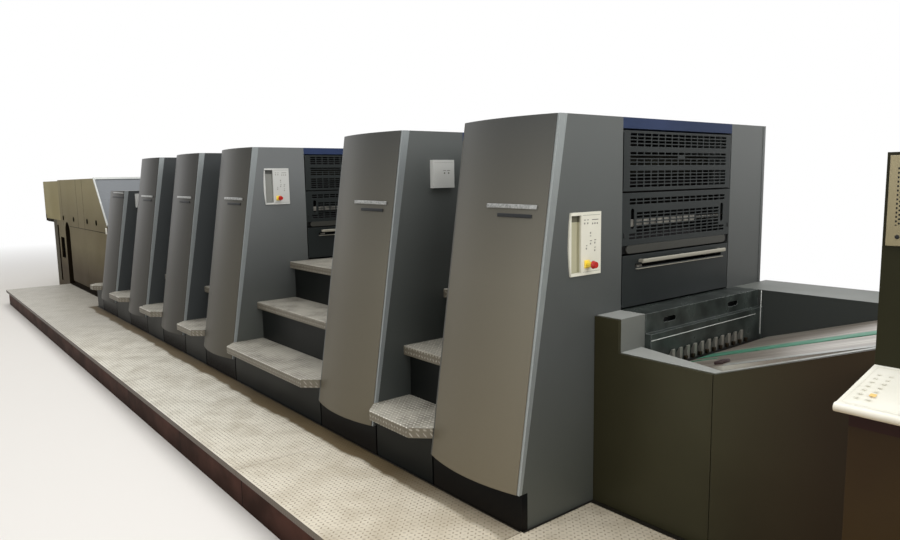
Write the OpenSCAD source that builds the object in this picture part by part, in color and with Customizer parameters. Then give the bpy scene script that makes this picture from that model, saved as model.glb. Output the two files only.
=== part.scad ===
// Sheet-fed offset printing press: delivery, short unit, five printing units, feeder and gallery.
// The line runs along X with the feeder at +X. The operator side faces -Y. The floor is z = 0.
// Inside the modules, x = 0 is the feeder-side face of unit 1, y = 0 is the foot of the operator-side
// towers and z = 0 is the top of the gallery, 190 mm above the floor.

/* [Line] */
// Distance from one printing unit to the next
unit_pitch = 1000; // [950:10:1100]
// Length of a unit along the line
unit_len = 540; // [480:10:600]
// Extra length of the bay between units 2 and 3, for the sheet reversing drums
reverser_len = 733; // [200:10:900]
// Distance from unit 5 to the short unit
short_pitch = 1041; // [950:10:1200]
// Length of the low bay between the short unit and the delivery
delivery_gap = 266; // [150:2:400]
// Length of the feed well between unit 1 and the feeder
well_len = 1020; // [900:10:1300]

/* [Towers] */
// Height of the gallery above the floor
gallery_h = 190; // [150:10:250]
// Height of the printing units above the gallery
tower_h = 1555; // [1400:5:1700]
// Height of the short unit above the gallery
short_h = 1257; // [1100:5:1400]
// Depth of the operator-side towers
tower_d = 578; // [520:2:700]
// Width between the towers, where the cylinders lie
inner_w = 827; // [700:1:1000]
// Depth of the drive-side towers
drive_d = 321; // [250:1:400]
// Height of the dark plinth under the front covers
plinth_h = 142; // [100:2:200]
// Thickness of the plinth plate
plinth_t = 30; // [15:1:40]
// How far the front of a tower leans back over its height
lean_in = 246; // [150:2:300]
// Width of the light edge strip at its foot
strip_low = 15; // [8:1:25]
// Width of the light edge strip at the top
strip_high = 41; // [20:1:60]
// Thickness of the light edge strip
strip_t = 12; // [6:1:20]
// How far a front cover bulges between its two edges
cover_bulge = 40; // [20:1:70]

/* [Guards] */
// Clearance round every guard that swings
guard_gap = 8; // [7:0.5:10]
// Depth of the folded sheet-metal guards
guard_d = 25; // [20:1:35]
// Thickness of the guard sheet
sheet_t = 3; // [2:0.5:5]
// Height of the lower guard
lower_guard_h = 215; // [180:1:240]
// Height of the plain rail over the lower guard
rail_h = 35; // [25:1:50]
// Height of the middle grille
middle_guard_h = 215; // [190:1:240]
// Height of the upper grille guard
upper_guard_h = 245; // [230:1:260]
// Height of the visor over the upper guard
visor_h = 44; // [30:1:70]
// Height of the sill between the footboard and the clearance of the lower guard
sill_h = 4; // [2:1:20]
// Middle of a grille's first row below the guard's top edge
slot_top = 15; // [12:1:20]
// Extra space between two bands of rows in the upper guard
band_gap = 18; // [10:1:20]
// Extra space between two bands of rows in the middle grille
middle_band_gap = 28; // [14:1:32]
// Middle of the middle grille's first row below its top edge
middle_top = 28; // [20:1:34]
// Height of the two upright slots in the middle grille
upright_h = 87; // [60:1:100]
// Width of the two upright slots
upright_w = 24; // [16:1:28]
// Top of the upright slots above the middle of the row beside it
upright_up = 22; // [15:1:30]
// Inset of the upright slots from the ends of the rows
upright_in = 10; // [4:1:12]
// Distance from the towers to the rounded ends of the plain rail
rail_end = 32; // [20:1:50]
// Setback of the plate beside the rounded ends
rail_step = 8; // [4:1:12]
// Gap between the plain rail and the middle grille
rail_gap = 1; // [0.5:0.5:3]
// Least plain border beside the grille slots
slot_edge = 40; // [30:1:50]
// Height of one grille slot
slot_h = 10; // [6:0.5:11]
// Distance from one row of grille slots to the next
slot_row = 14.5; // [13:0.5:16]
// Distance from one column of grille slots to the next
slot_col = 49; // [45:1:80]
// Web between two slots of a row
slot_web = 5; // [4:1:15]
// Radius of the hinge pins
pin_r = 5; // [4:0.5:6]
// How far a hinge pin reaches into the tower
pin_in = 8; // [5:1:12]
// Radial clearance of a hinge pin in its bore
pin_clear = 0.1; // [0.05:0.01:0.1]
// Length of the handle on the lower guard
handle_len = 610; // [500:10:680]
// Gap for the fingers behind the handle
handle_gap = 22; // [18:1:30]
// Thickness of the handle bar
handle_t = 10; // [8:1:14]
// Height of the handle bar
handle_h = 18; // [14:1:24]
// Middle of the handle below the guard's top edge
handle_drop = 25; // [18:1:40]
// How far the handle sits towards the drive side
handle_off = 14; // [0:1:30]
// Width of a handle bracket
bracket_w = 16; // [10:1:20]
// Thickness of a handle bracket
bracket_t = 12; // [8:1:14]
// Height of the finger slot under the handle
finger_h = 16; // [12:1:22]
// How far the finger slot reaches past each end of the handle
finger_over = 14; // [0:1:20]
// How far the finger slot reaches up behind the handle
finger_up = 4; // [2:1:8]
// Reach of the folded lip under the finger slot
finger_lip = 12; // [8:1:16]

/* [Cylinders] */
// Radius of the plate and blanket cylinders
cyl_r = 88; // [80:1:90]
// Running gap between two cylinders or rollers
roll_gap = 1; // [0.5:0.5:3]
// Radius of the ink form rollers
form_r = 32; // [28:1:36]
// Radius of the ink drums
drum_r = 42; // [36:1:46]
// Radius of the journals that carry the rollers
journal_r = 14; // [10:1:18]
// Length of a journal between roller and tower
journal_len = 25; // [15:1:60]
// Radius of the rollers between the ink drums and the duct roller
feed_r = 24; // [20:1:27]
// Distance from the upper cylinder to the guards' face
cyl_in = 60; // [50:1:70]
// Setback of the lower cylinder behind the upper one
cyl_back = 12; // [0:1:20]
// Clearance under the lower cylinder
cyl_clear = 12; // [8:1:20]
// Width of the bearer ring at each end of a cylinder
bearer_ring = 30; // [20:1:40]
// Depth of the groove beside a bearer ring
groove_d = 5; // [3:1:8]
// Width of that groove
groove_w = 10; // [6:1:16]
// Width of the clamping gap along a cylinder
clamp_w = 26; // [16:1:36]
// Depth of the clamping gap
clamp_d = 16; // [10:1:24]
// Distance from the clamping gap to the grooves
clamp_in = 8; // [4:1:20]
// Where the clamping gap of the upper cylinder lies, in degrees below the horizontal
plate_clamp_at = 34; // [28:1:40]
// Where the clamping gap of the lower cylinder lies, in degrees above the horizontal
blanket_clamp_at = 20; // [14:1:26]
// Width of the ink fountain behind the duct roller
fountain_w = 110; // [80:5:115]
// Height of the ink fountain
fountain_h = 95; // [70:5:100]
// Rise of the fountain's blade from the duct roller to its back
fountain_rise = 40; // [20:5:50]
// Thickness of the fountain's plates
fountain_t = 8; // [5:1:12]
// Depth of the space behind the guards
cavity_d = 300; // [280:5:340]

/* [Steps] */
// Rise from one tread to the next
step_rise = 255; // [230:5:280]
// Going from one tread to the next
step_going = 258; // [230:2:280]
// Overhang of the bottom tread in front of the plinths
tread_nose = 80; // [50:5:120]
// Overhang of the other treads over their risers
tread_lip = 30; // [15:1:45]
// Thickness of a tread
tread_t = 45; // [30:1:55]
// Corner cut at the nose of the bottom tread
tread_cut = 75; // [40:1:80]
// Radius of the folded nose of a tread
nose_r = 6; // [3:1:12]
// Dark gap between a step body and the towers
body_gap = 12; // [6:1:25]

/* [Gallery] */
// Width of the gallery in front of the units
gallery_w = 600; // [500:10:800]
// Thickness of the gallery plates
plate_t = 30; // [20:1:40]
// Gap between neighbouring gallery plates
plate_gap = 2; // [1:0.5:5]
// Gap between the gallery plates and the press
plate_back = 4; // [2:0.5:8]
// How far the gallery runs past the delivery end of the short unit
gallery_past = 2486; // [1800:2:2700]
// Setback of the fascia behind the edge of the plates
fascia_back = 25; // [10:1:60]
// Thickness of the fascia panels and of the bearers behind them
fascia_t = 20; // [10:1:30]
// Width of the bearers under the plates
bearer_w = 60; // [40:5:100]

/* [Feed well] */
// Distance of the feed well's front from the foot of the towers
well_front = 410; // [300:5:450]
// Thickness of the front cladding of the feed well
clad_t = 15; // [8:1:20]
// Seam between two panels of the cladding
clad_seam = 3; // [2:0.5:5]
// How far the cladding stays below the rims
clad_drop = 2; // [1:0.5:4]
// Height of the block beside unit 1, and of the cross plate
well_high = 770; // [765:5:800]
// Length of the block beside unit 1
block_len = 120; // [80:5:160]
// Height of the low rim
well_low = 638; // [600:2:700]
// Length over which the front rim is low
low_len = 520; // [400:5:600]
// Height of the rim where it meets the feeder
well_end = 817; // [800:1:900]
// Width of the low rim beside the block
rim_wide = 150; // [110:5:160]
// Width of the rim where it starts to rise
rim_thin = 60; // [40:2:70]
// Reach of the step below the cross plate's face
ledge_in = 26; // [15:1:40]
// Height of the cross plate's face
cross_face = 80; // [60:1:100]
// Length of an oval hand slot in the cross plate
oval_len = 88; // [60:2:110]
// Height of an oval hand slot
oval_h = 22; // [16:1:30]
// Slope of the feed board in degrees
board_slope = 17.7; // [14:0.1:18]
// Thickness of the feed board
board_t = 30; // [20:1:40]
// Distance of the feed board's front edge from unit 1
board_start = 176; // [165:1:220]
// Height of the feed board's front edge
board_low = 546; // [500:1:560]
// How far the feed board reaches into the feeder
board_in = 330; // [200:10:480]
// Clearance between the feed board and the rim
board_gap = 2; // [1:0.5:5]
// Number of front lays
lay_count = 11; // [7:1:13]
// Distance from one front lay to the next
lay_pitch = 54; // [45:1:60]
// Width of a front lay
lay_w = 18; // [12:1:24]
// Top of the front lays
lay_top = 611; // [600:1:640]
// Distance from the towers to the first front lay
lay_first = 125; // [100:1:160]
// Thickness of a front lay
lay_t = 18; // [14:1:22]
// Width of a front lay's flat top
lay_nose = 6; // [4:1:10]
// Height of the slanted tip of a front lay
lay_tip = 25; // [15:1:35]
// Radius of the bar that carries the front lays
lay_bar_r = 11; // [8:1:12]
// How far the cross plate reaches below the feed board's front edge
cross_under = 60; // [50:1:90]
// How far the cross plate stands out from the block beside it
face_proud = 4; // [2:1:8]
// Distance from the towers to the hand slots in the cross plate
oval_in = 165; // [120:1:220]
// Depth of a hand slot
oval_d = 20; // [12:1:30]

/* [Drive side] */
// How far the drive-side housings of feeder and feed well stand out behind the towers
drive_out = 64; // [20:2:120]
// Width of the flat rim on the drive side of the feed well
drive_rim = 320; // [280:2:340]

/* [Feeder] */
// Length of the feeder
feeder_len = 1500; // [1200:10:1800]
// Height of the feeder's side cabinets
feeder_h = 1373; // [1300:1:1500]
// Thickness of the operator-side cabinet
cabinet_t = 180; // [120:5:200]
// Length of the perforated panel
panel_len = 460; // [300:10:600]
// Lower edge of the perforated panel
panel_low = 1118; // [1000:2:1150]
// Depth of the control console in front of the cabinet
console_d = 268; // [200:2:340]
// Length of the control console
console_len = 620; // [500:10:800]
// Height of the console's front edge
console_front = 717; // [650:1:750]
// Height of the console's back edge
console_back = 772; // [740:1:850]
// Thickness of the console's pale top
console_t = 25; // [18:1:30]
// Inset of the console's body below its top
console_in = 30; // [15:1:45]
// Distance from the feeder's edge to the perforated panel
panel_x = 22; // [10:1:60]
// Thickness of the perforated panel
panel_t = 8; // [4:1:12]
// Distance from the top of the cabinet to the panel
panel_drop = 28; // [15:1:50]
// Distance from the feeder's edge to the suction head
head_x = 520; // [400:10:600]
// Length of the suction head along the line
head_len = 420; // [300:10:600]
// Width of the suction head across the line
head_w = 460; // [300:10:600]
// Height of the suction head
head_h = 230; // [150:10:280]
// Slant at the head's upper front edge
head_slant = 90; // [40:5:120]
// Height of the head's underside
head_low = 1080; // [1000:10:1100]
// Radius of the bars that carry the head
head_bar_r = 25; // [18:1:35]
// Distance of those bars from the head's ends
head_bar_in = 50; // [40:1:80]
// Distance of the suction cups from the middle of the head
sucker_out = 115; // [60:5:130]
// Radius of a suction cup
sucker_r = 16; // [10:1:22]
// Length of a suction cup and its stem
sucker_len = 50; // [30:5:80]

/* [Delivery] */
// Length of the delivery's closed body at its foot
delivery_len = 3020; // [2900:10:3300]
// Run of the sloping cover at the feeder end of the hood
slope_run = 480; // [300:10:700]
// Length of the delivery hood's flat top
hood_top = 2040; // [1800:10:2200]
// Setback of the delivery behind the foot of the towers
delivery_front = 150; // [100:5:200]
// Top of the delivery hood
delivery_h = 1397; // [1300:1:1450]
// Top of the delivery's lower body
delivery_low = 790; // [740:2:830]
// Foot of the sloping cover
slope_low = 868; // [840:2:900]
// Length of the end hood over the pile bay
end_hood_len = 1080; // [900:10:1200]
// Underside of the end hood
end_hood_low = 850; // [830:2:880]
// Step from the hood down to the end hood
end_step = 12; // [5:1:20]
// Thickness of the sloping cover's frame
slope_t = 18; // [12:1:30]
// Width of the sloping cover's frame bars
slope_bar = 28; // [20:1:45]
// Distance from the body's far end to the tall arched recess
arch_x = 760; // [700:5:820]
// Width of the tall arched recess
arch_w = 285; // [220:5:320]
// Top of the tall arched recess, which reaches into the hood
arch_top = 840; // [800:2:860]
// Depth of the arched and the square recess
recess_d = 60; // [30:5:90]
// Distance from the body's far end to the square recess
slit_x = 415; // [380:5:450]
// Width of the square recess
slit_w = 240; // [180:5:280]
// Height of the square recess
slit_h = 285; // [200:5:320]
// Height of the square recess above the gallery
slit_z = 335; // [250:5:400]
// Width of the end post beside the dark joint
post_w = 230; // [150:5:270]
// Width of a joint between two cover panels
joint_w = 4; // [2:1:8]
// Depth of such a joint
joint_d = 6; // [3:1:10]
// Width of the dark joint beside the end post
post_joint_w = 95; // [60:5:130]
// Depth of the dark joint beside the end post
post_joint_d = 60; // [30:5:90]
// Length of the door panel beside the arched recess
door_len = 900; // [600:10:1100]
// Height of the toe recess along the foot of the body
toe_h = 70; // [40:5:100]
// Depth of the toe recess
toe_d = 25; // [10:5:50]
// Number of cover panels along the hood
hood_panels = 3; // [2:1:5]
// Width of the hood's first, narrow cover panel
first_panel = 160; // [100:10:300]
// Radius of the round holes in the hood
hole_r = 20; // [10:1:25]
// Depth of the round holes
hole_d = 30; // [10:5:50]
// Height of the round holes above the hood's foot
hole_up = 99; // [80:1:130]
// Radius of the end hood's upper edge
end_r = 20; // [10:5:40]
// Thickness of the end hood's edge round its open underside
end_rim = 40; // [20:5:60]
// Depth of the open underside
end_rim_h = 90; // [40:5:150]

/* [Control boxes] */
// Width of a large control box
box_w = 186; // [150:2:220]
// Height of a large control box
box_h = 245; // [200:5:280]
// Thickness of a large control box in front of the tower
box_t = 8; // [6:1:20]
// Bow of its front edge
box_bow = 10; // [4:1:15]
// Wall thickness of the grip pan behind it
pan_t = 2; // [1.5:0.5:4]
// Depth of the grip pan in the tower
pan_d = 16; // [10:1:30]
// Clearance round the grip pan in the tower
pan_clear = 0.5; // [0.3:0.1:2]
// Width of the grip recess in a large control box
grip_w = 56; // [30:1:60]
// Border round the grip recess
grip_in = 12; // [10:1:25]
// Distance from the foot of unit 1 to its control box
box_1_y = 250; // [220:5:300]
// Distance from the top of unit 1 to its control box
box_1_drop = 370; // [300:5:420]
// Distance from the foot of unit 3 to its control box
box_3_y = 267; // [240:1:320]
// Distance from the top of unit 3 to its control box
box_3_drop = 142; // [100:2:200]
// Width of a small key box
key_w = 133; // [100:1:150]
// Height of a small key box
key_h = 138; // [100:1:160]
// Thickness of a small key box
key_t = 26; // [18:1:35]
// Distance from the foot of a unit to its small key box
key_y = 365; // [300:5:420]
// Distance from the top of a unit to its small key box
key_drop = 140; // [100:5:200]
// Distance from the foot of the short unit to its key box
short_key_y = 250; // [220:5:320]
// Distance from the top of the short unit to its key box
short_key_drop = 29; // [20:1:60]
// Radius of a stop button's head
stop_r = 16; // [15:1:24]
// Thickness of the head
stop_t = 15; // [10:1:18]
// Bevel of the head's outer face
stop_edge = 4; // [2:1:8]
// Radius of the stem below the head
stem_r = 11; // [8:1:13]
// Length of the stem
stem_len = 32; // [20:1:40]
// Distance from a stop button to the side of its box
stop_in = 84; // [60:1:95]
// Height of a stop button above the foot of its box
stop_up = 43; // [25:1:60]

/* [Hidden] */

units = [1, 2, 3, 4, 5];
function unit_x(i) = -(i - 1) * unit_pitch - (i > 2 ? reverser_len : 0);
short_x = unit_x(5) - short_pitch;
short_end = short_x - unit_len;
delivery_x = short_end - delivery_gap;
tower_xs = concat([for (i = units) unit_x(i)], [short_x]);

core_y = tower_d;
drive_y = core_y + inner_w;
towers_d = drive_y + drive_d;
back_y = towers_d + drive_out;

hood_right = delivery_x - slope_run;
hood_left = hood_right - hood_top;
body_left = delivery_x - delivery_len;

x_min = hood_left - end_hood_len;
x_max = well_len + feeder_len;
y_min = -gallery_w;
mid_x = (x_min + x_max) / 2;
mid_y = (y_min + back_y) / 2;

floor_z = -gallery_h;
visor_z = tower_h - visor_h;
upper_z = visor_z - guard_gap - upper_guard_h;
middle_z = upper_z - guard_gap - middle_guard_h;
rail_z = middle_z - rail_h;
guard_z = rail_z - guard_gap - lower_guard_h;
step_top = guard_z - guard_gap - sill_h;
first_rise = step_top - 2 * step_rise;
hinge_in = pin_r + 1;

cover_lean = atan((lean_in - strip_high + strip_low) / (tower_h - plinth_h));

// Moves the press from its own measuring frame to the middle of its floor area
module place() {
    translate([-mid_x, -mid_y, gallery_h]) children();
}

// Box between two corners
module block(a, b) {
    translate(a) cube(b - a);
}

// Outline in the plane across the line (y, z), extruded along x from x0 to x1
module across(x0, x1) {
    translate([x0, 0, 0]) rotate([90, 0, 90]) linear_extrude(x1 - x0) children();
}

// Outline in the plane along the line (x, z), extruded along y from y0 to y1
module along(y0, y1) {
    translate([0, y1, 0]) rotate([90, 0, 0]) linear_extrude(y1 - y0) children();
}

function front_y(z) = lean_in * (z - plinth_h) / (tower_h - plinth_h);

module tower_outline(h) {
    polygon([[plinth_t, floor_z], [plinth_t, plinth_h], [0, plinth_h], [front_y(h), h],
        [tower_d, h], [tower_d, floor_z]]);
}

// Bores for the hinge pins of the two guards of a unit
module hinge_bores(x, side) {
    for (z = [guard_z + hinge_in, upper_z + upper_guard_h - hinge_in])
        translate([x - hinge_in, side, z]) rotate([90, 0, 0])
            cylinder(r = pin_r + pin_clear, h = 2 * (pin_in + 1), center = true, $fn = 32);
}

// Pocket in a tower's side for the grip pan of control box b
module pan_pocket(b) {
    over = pan_t + pan_clear;
    block([b[0] - pan_d - pan_clear, b[1] + grip_in - over, b[2] + grip_in - over],
        [b[0] + 1, b[1] + grip_in + grip_w + over, b[2] + box_h - grip_in + over]);
}

module operator_towers() {
    color("#4a4e50") place() {
        for (i = units)
            difference() {
                across(unit_x(i) - unit_len, unit_x(i)) tower_outline(tower_h);
                hinge_bores(unit_x(i), core_y);
                if (i == 1 || i == 3) pan_pocket(boxes[i == 1 ? 0 : 1]);
            }
        across(short_x - unit_len, short_x) tower_outline(short_h);
    }
}

// Segment of a circle that the front covers have in plan
module cover_plan() {
    r = (pow(unit_len / 2, 2) + pow(cover_bulge, 2)) / (2 * cover_bulge);
    intersection() {
        translate([-unit_len / 2, r - cover_bulge]) circle(r, $fn = 180);
        translate([-unit_len + strip_t, -cover_bulge - 1])
            square([unit_len - 2 * strip_t, cover_bulge + 2 * strip_high]);
    }
}

module front_cover(x, h) {
    intersection() {
        translate([x, -strip_low, plinth_h]) rotate([-cover_lean, 0, 0])
            translate([0, 0, -plinth_h]) linear_extrude(tower_h + plinth_h) cover_plan();
        across(x - unit_len, x)
            polygon([[-2 * cover_bulge, plinth_h], [0, plinth_h], [front_y(h), h], [-2 * cover_bulge, h]]);
    }
}

module front_covers() {
    color("#66635b") place() {
        for (i = units) front_cover(unit_x(i), tower_h);
        front_cover(short_x, short_h);
    }
}

function strip_y(z) = -strip_low + tan(cover_lean) * (z - plinth_h);

module strip_pair(x, h) {
    for (x0 = [x - unit_len, x - strip_t])
        across(x0, x0 + strip_t)
            polygon([[-strip_low, plinth_h], [0, plinth_h], [front_y(h), h], [strip_y(h), h]]);
}

module edge_strips() {
    color("#919ba0") place() {
        for (i = units) strip_pair(unit_x(i), tower_h);
        strip_pair(short_x, short_h);
    }
}

module plinths() {
    color("#17181a") place()
        for (x = tower_xs) block([x - unit_len, 0, floor_z], [x, plinth_t, plinth_h]);
}

module drive_towers() {
    color("#4c5052") place()
        for (i = units)
            difference() {
                block([unit_x(i) - unit_len, drive_y, step_top], [unit_x(i), towers_d, tower_h]);
                hinge_bores(unit_x(i), drive_y);
            }
}

module gear_side_base() {
    color("#3b3e40") place() block([delivery_x, drive_y, floor_z], [0, towers_d, step_top]);
}

module unit_bases() {
    color("#2c2e30") place()
        for (x = tower_xs) block([x - unit_len, core_y, floor_z], [x, drive_y, step_top]);
}

module unit_backs() {
    color("#303335") place()
        for (i = units)
            block([unit_x(i) - unit_len, core_y, step_top], [unit_x(i) - cavity_d, drive_y, tower_h]);
}

module short_unit_body() {
    color("#303335") place() block([short_end, core_y, step_top], [short_x, towers_d, short_h]);
}

module visors() {
    color("#3b4a70") place()
        for (i = units) block([unit_x(i) - cavity_d, core_y, visor_z], [unit_x(i), drive_y, tower_h]);
}

// One row of grille slots from y0, n slots long, with its middle at height z
module slot_line(y0, n, z) {
    for (k = [0 : n - 1])
        translate([y0 + k * slot_col, z - slot_h / 2]) square([slot_col - slot_web, slot_h]);
}

// Band of grille rows, counted down from the middle of the top row
module slot_band(top, rows, y0, n) {
    for (r = [0 : rows - 1]) slot_line(y0, n, top - r * slot_row);
}

// Folded sheet tray with its face at x and its open side towards the cylinders
module tray(x, y0, y1, z0, z1) {
    across(x - sheet_t, x)
        difference() {
            translate([y0, z0]) square([y1 - y0, z1 - z0]);
            children();
        }
    across(x - guard_d, x - sheet_t)
        difference() {
            translate([y0, z0]) square([y1 - y0, z1 - z0]);
            translate([y0 + sheet_t, z0 + sheet_t]) square([y1 - y0 - 2 * sheet_t, z1 - z0 - 2 * sheet_t]);
        }
}

slot_n = floor((inner_w - 2 * slot_edge + slot_web) / slot_col);
slot_y = core_y + (inner_w - slot_n * slot_col + slot_web) / 2;
slot_end = slot_y + slot_n * slot_col - slot_web;
joined_l = floor(slot_n / 2) * slot_col - slot_web;

// Round-ended shape of length len and height h with its middle at (y, z)
module oval(y, z, len, h) {
    translate([y, z]) {
        square([len - h, h], center = true);
        for (s = [-1, 1]) translate([s * (len - h) / 2, 0]) circle(d = h, $fn = 32);
    }
}

// Plain round-ended rail between lower guard and middle grille, on a plate that is set back beside its ends
module rail(x) {
    h = rail_h - rail_gap;
    block([x - guard_d, core_y, rail_z], [x - rail_step, drive_y, rail_z + h]);
    across(x - rail_step, x) oval(core_y + inner_w / 2, rail_z + h / 2, inner_w - 2 * rail_end, h);
}

module middle_guards() {
    band_1 = middle_z + middle_guard_h - middle_top;
    band_2 = band_1 - 2 * slot_row - middle_band_gap;
    band_3 = band_2 - 6 * slot_row;
    upright_z = band_2 + upright_up - upright_h / 2;
    color("#2b2e30") place()
        for (i = units) {
            tray(unit_x(i), core_y, drive_y, middle_z, middle_z + middle_guard_h) {
                slot_band(band_1, 2, slot_y, slot_n);
                slot_band(band_2, 6, slot_y + slot_col, slot_n - 2);
                slot_band(band_3, 2, slot_y, slot_n);
                for (y = [slot_y + upright_in + upright_w / 2, slot_end - upright_in - upright_w / 2])
                    translate([y, upright_z]) rotate(90) oval(0, 0, upright_h, upright_w);
            }
            rail(unit_x(i));
        }
}

// Hinge pins at both ends of a guard, on the axis at height z
module hinge_pins(x, z) {
    for (y = [core_y - pin_in, drive_y - guard_gap - sheet_t])
        translate([x - hinge_in, y, z]) rotate([-90, 0, 0])
            cylinder(r = pin_r, h = pin_in + guard_gap + sheet_t, $fn = 32);
}

// The second row of the middle band is two long slots with a plain tab between them
module upper_guard(i) {
    band_1 = upper_z + upper_guard_h - slot_top;
    band_2 = band_1 - 4 * slot_row - band_gap;
    band_3 = band_2 - 4 * slot_row - band_gap;
    color("#2b2e30") place() {
        tray(unit_x(i), core_y + guard_gap, drive_y - guard_gap, upper_z, upper_z + upper_guard_h) {
            slot_band(band_1, 4, slot_y, slot_n);
            slot_band(band_2, 1, slot_y, slot_n);
            for (y = [slot_y, slot_end - joined_l])
                translate([y, band_2 - slot_row - slot_h / 2]) square([joined_l, slot_h]);
            slot_band(band_2 - 2 * slot_row, 2, slot_y, slot_n);
            slot_band(band_3, 5, slot_y, slot_n);
        }
        hinge_pins(unit_x(i), upper_z + upper_guard_h - hinge_in);
    }
}

handle_z = guard_z + lower_guard_h - handle_drop;
handle_y = core_y + (inner_w - handle_len) / 2 + handle_off;
bar_y = handle_y - bracket_w;
bar_end = handle_y + handle_len + bracket_w;
finger_y = bar_y - finger_over;
finger_end = bar_end + finger_over;
finger_top = handle_z - handle_h / 2 - finger_up;
finger_low = finger_top - finger_h;

module lower_guard(i) {
    x = unit_x(i);
    color("#232629") place() {
        tray(x, core_y + guard_gap, drive_y - guard_gap, guard_z, guard_z + lower_guard_h)
            translate([finger_y, finger_low]) square([finger_end - finger_y, finger_h]);
        hinge_pins(x, guard_z + hinge_in);
        for (y = [handle_y, handle_y + handle_len / 2, handle_y + handle_len])
            block([x, y - bracket_w / 2, handle_z - bracket_t / 2],
                [x + handle_gap + 1, y + bracket_w / 2, handle_z + bracket_t / 2]);
        along(bar_y, bar_end) translate([x + handle_gap + handle_t / 2, handle_z]) {
            square([handle_t, handle_h - handle_t], center = true);
            for (s = [-1, 1]) translate([0, s * (handle_h - handle_t) / 2]) circle(d = handle_t, $fn = 32);
        }
        block([x, finger_y, finger_low - 2 * sheet_t], [x + finger_lip, finger_end, finger_low - sheet_t]);
    }
}

// Journal that carries a cylinder or roller at both towers
module journal(r) {
    cylinder(r = min(journal_r, r / 2), h = inner_w, $fn = 32);
}

// Printing cylinder with bearer rings at its ends and the gap where plate or blanket is clamped
module press_cylinder(x, z, clamp_angle) {
    len = inner_w - 2 * journal_len;
    translate([x, core_y, z]) rotate([-90, 0, 0]) {
        difference() {
            translate([0, 0, journal_len]) cylinder(r = cyl_r, h = len, $fn = 96);
            for (z0 = [journal_len + bearer_ring, journal_len + len - bearer_ring - groove_w])
                translate([0, 0, z0]) difference() {
                    cylinder(r = cyl_r + 1, h = groove_w, $fn = 96);
                    translate([0, 0, -1]) cylinder(r = cyl_r - groove_d, h = groove_w + 2, $fn = 96);
                }
            rotate([0, 0, clamp_angle])
                translate([cyl_r - clamp_d, -clamp_w / 2, journal_len + bearer_ring + groove_w + clamp_in])
                    cube([clamp_d + 1, clamp_w, len - 2 * (bearer_ring + groove_w + clamp_in)]);
        }
        journal(cyl_r);
    }
}

// Plain roller with its journals, across the space between the towers
module roller(x, z, r) {
    translate([x, core_y, z]) rotate([-90, 0, 0]) {
        translate([0, 0, journal_len]) cylinder(r = r, h = inner_w - 2 * journal_len, $fn = 64);
        journal(r);
    }
}

blanket_x = -cyl_in - cyl_r - cyl_back;
blanket_z = step_top + cyl_r + cyl_clear;
plate_x = -cyl_in - cyl_r;
plate_z = blanket_z + sqrt(pow(2 * cyl_r + roll_gap, 2) - pow(plate_x - blanket_x, 2));

module cylinders() {
    color("#8d9092") place()
        for (i = units) {
            press_cylinder(unit_x(i) + blanket_x, blanket_z, blanket_clamp_at);
            press_cylinder(unit_x(i) + plate_x, plate_z, -plate_clamp_at);
        }
}

// Centre of a roller of radius r that runs on a roller at c of radius rc, at angle a from the horizontal
function riding(c, rc, r, a) = c + (rc + r + roll_gap) * [cos(a), sin(a)];

// Angles of the roller train, from the plate cylinder up to the duct roller
train_angles = [66, 105, 84, 116, 115, 75, 120];
form_1 = riding([plate_x, plate_z], cyl_r, form_r, train_angles[0]);
form_2 = riding([plate_x, plate_z], cyl_r, form_r, train_angles[1]);
drum_1 = riding(form_1, form_r, drum_r, train_angles[2]);
drum_2 = riding(form_2, form_r, drum_r, train_angles[3]);
feed_1 = riding(drum_1, drum_r, feed_r, train_angles[4]);
feed_2 = riding(feed_1, feed_r, feed_r, train_angles[5]);
train = [[form_1, form_r], [form_2, form_r], [drum_1, drum_r], [drum_2, drum_r], [feed_1, feed_r],
    [feed_2, feed_r]];
duct = riding(feed_2, feed_r, form_r, train_angles[6]);

module ink_rollers() {
    color("#9a8f88") place()
        for (i = units) for (c = concat(train, [[duct, form_r]])) roller(unit_x(i) + c[0][0], c[0][1], c[1]);
}

// Trough with a sloping blade that holds the ink against the duct roller
module ink_fountains() {
    edge = duct[0] - form_r - roll_gap;
    back = edge - fountain_w;
    low = duct[1];
    color("#6f7376") place()
        for (i = units)
            along(core_y, drive_y) translate([unit_x(i), 0])
                polygon([[edge, low], [back + fountain_t, low + fountain_rise],
                    [back + fountain_t, low + fountain_h], [back, low + fountain_h],
                    [back, low + fountain_rise - fountain_t], [edge, low - fountain_t]]);
}

// Bays between the towers: [low x, high x, number of treads]
bays = concat(
    [for (i = [2 : 5]) [unit_x(i), unit_x(i - 1) - unit_len, 3]],
    [[short_x, unit_x(5) - unit_len, 3], [delivery_x, short_end, 1]]);

function tread_front(k) = -tread_nose + (k - 1) * step_going;
function riser_y(k) = k == 1 ? 0 : tread_front(k) + tread_lip;
function tread_z(k) = first_rise + (k - 1) * step_rise;
function under(k) = tread_z(k) - tread_t;

// Side view of a tread from y0 to y1, with its top edge folded down over a small radius
module tread_profile(k, y0, y1) {
    z = tread_z(k);
    polygon([[y0, under(k)], [y0, z - nose_r], [y0 + nose_r, z - nose_r], [y0 + nose_r, z], [y1, z],
        [y1, under(k)]]);
    translate([y0 + nose_r, z - nose_r]) circle(nose_r, $fn = 32);
}

module step_bodies() {
    color("#1d1f20") place()
        for (b = bays)
            across(b[0] + body_gap, b[1] - body_gap)
                polygon(b[2] == 1 ?
                    [[0, floor_z], [0, under(1)], [riser_y(2), under(1)], [riser_y(2), delivery_low],
                    [drive_y, delivery_low], [drive_y, floor_z]] :
                    [[0, floor_z], [0, under(1)], [riser_y(2), under(1)], [riser_y(2), under(2)],
                    [riser_y(3), under(2)], [riser_y(3), under(3)], [drive_y, under(3)], [drive_y, floor_z]]);
}

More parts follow.
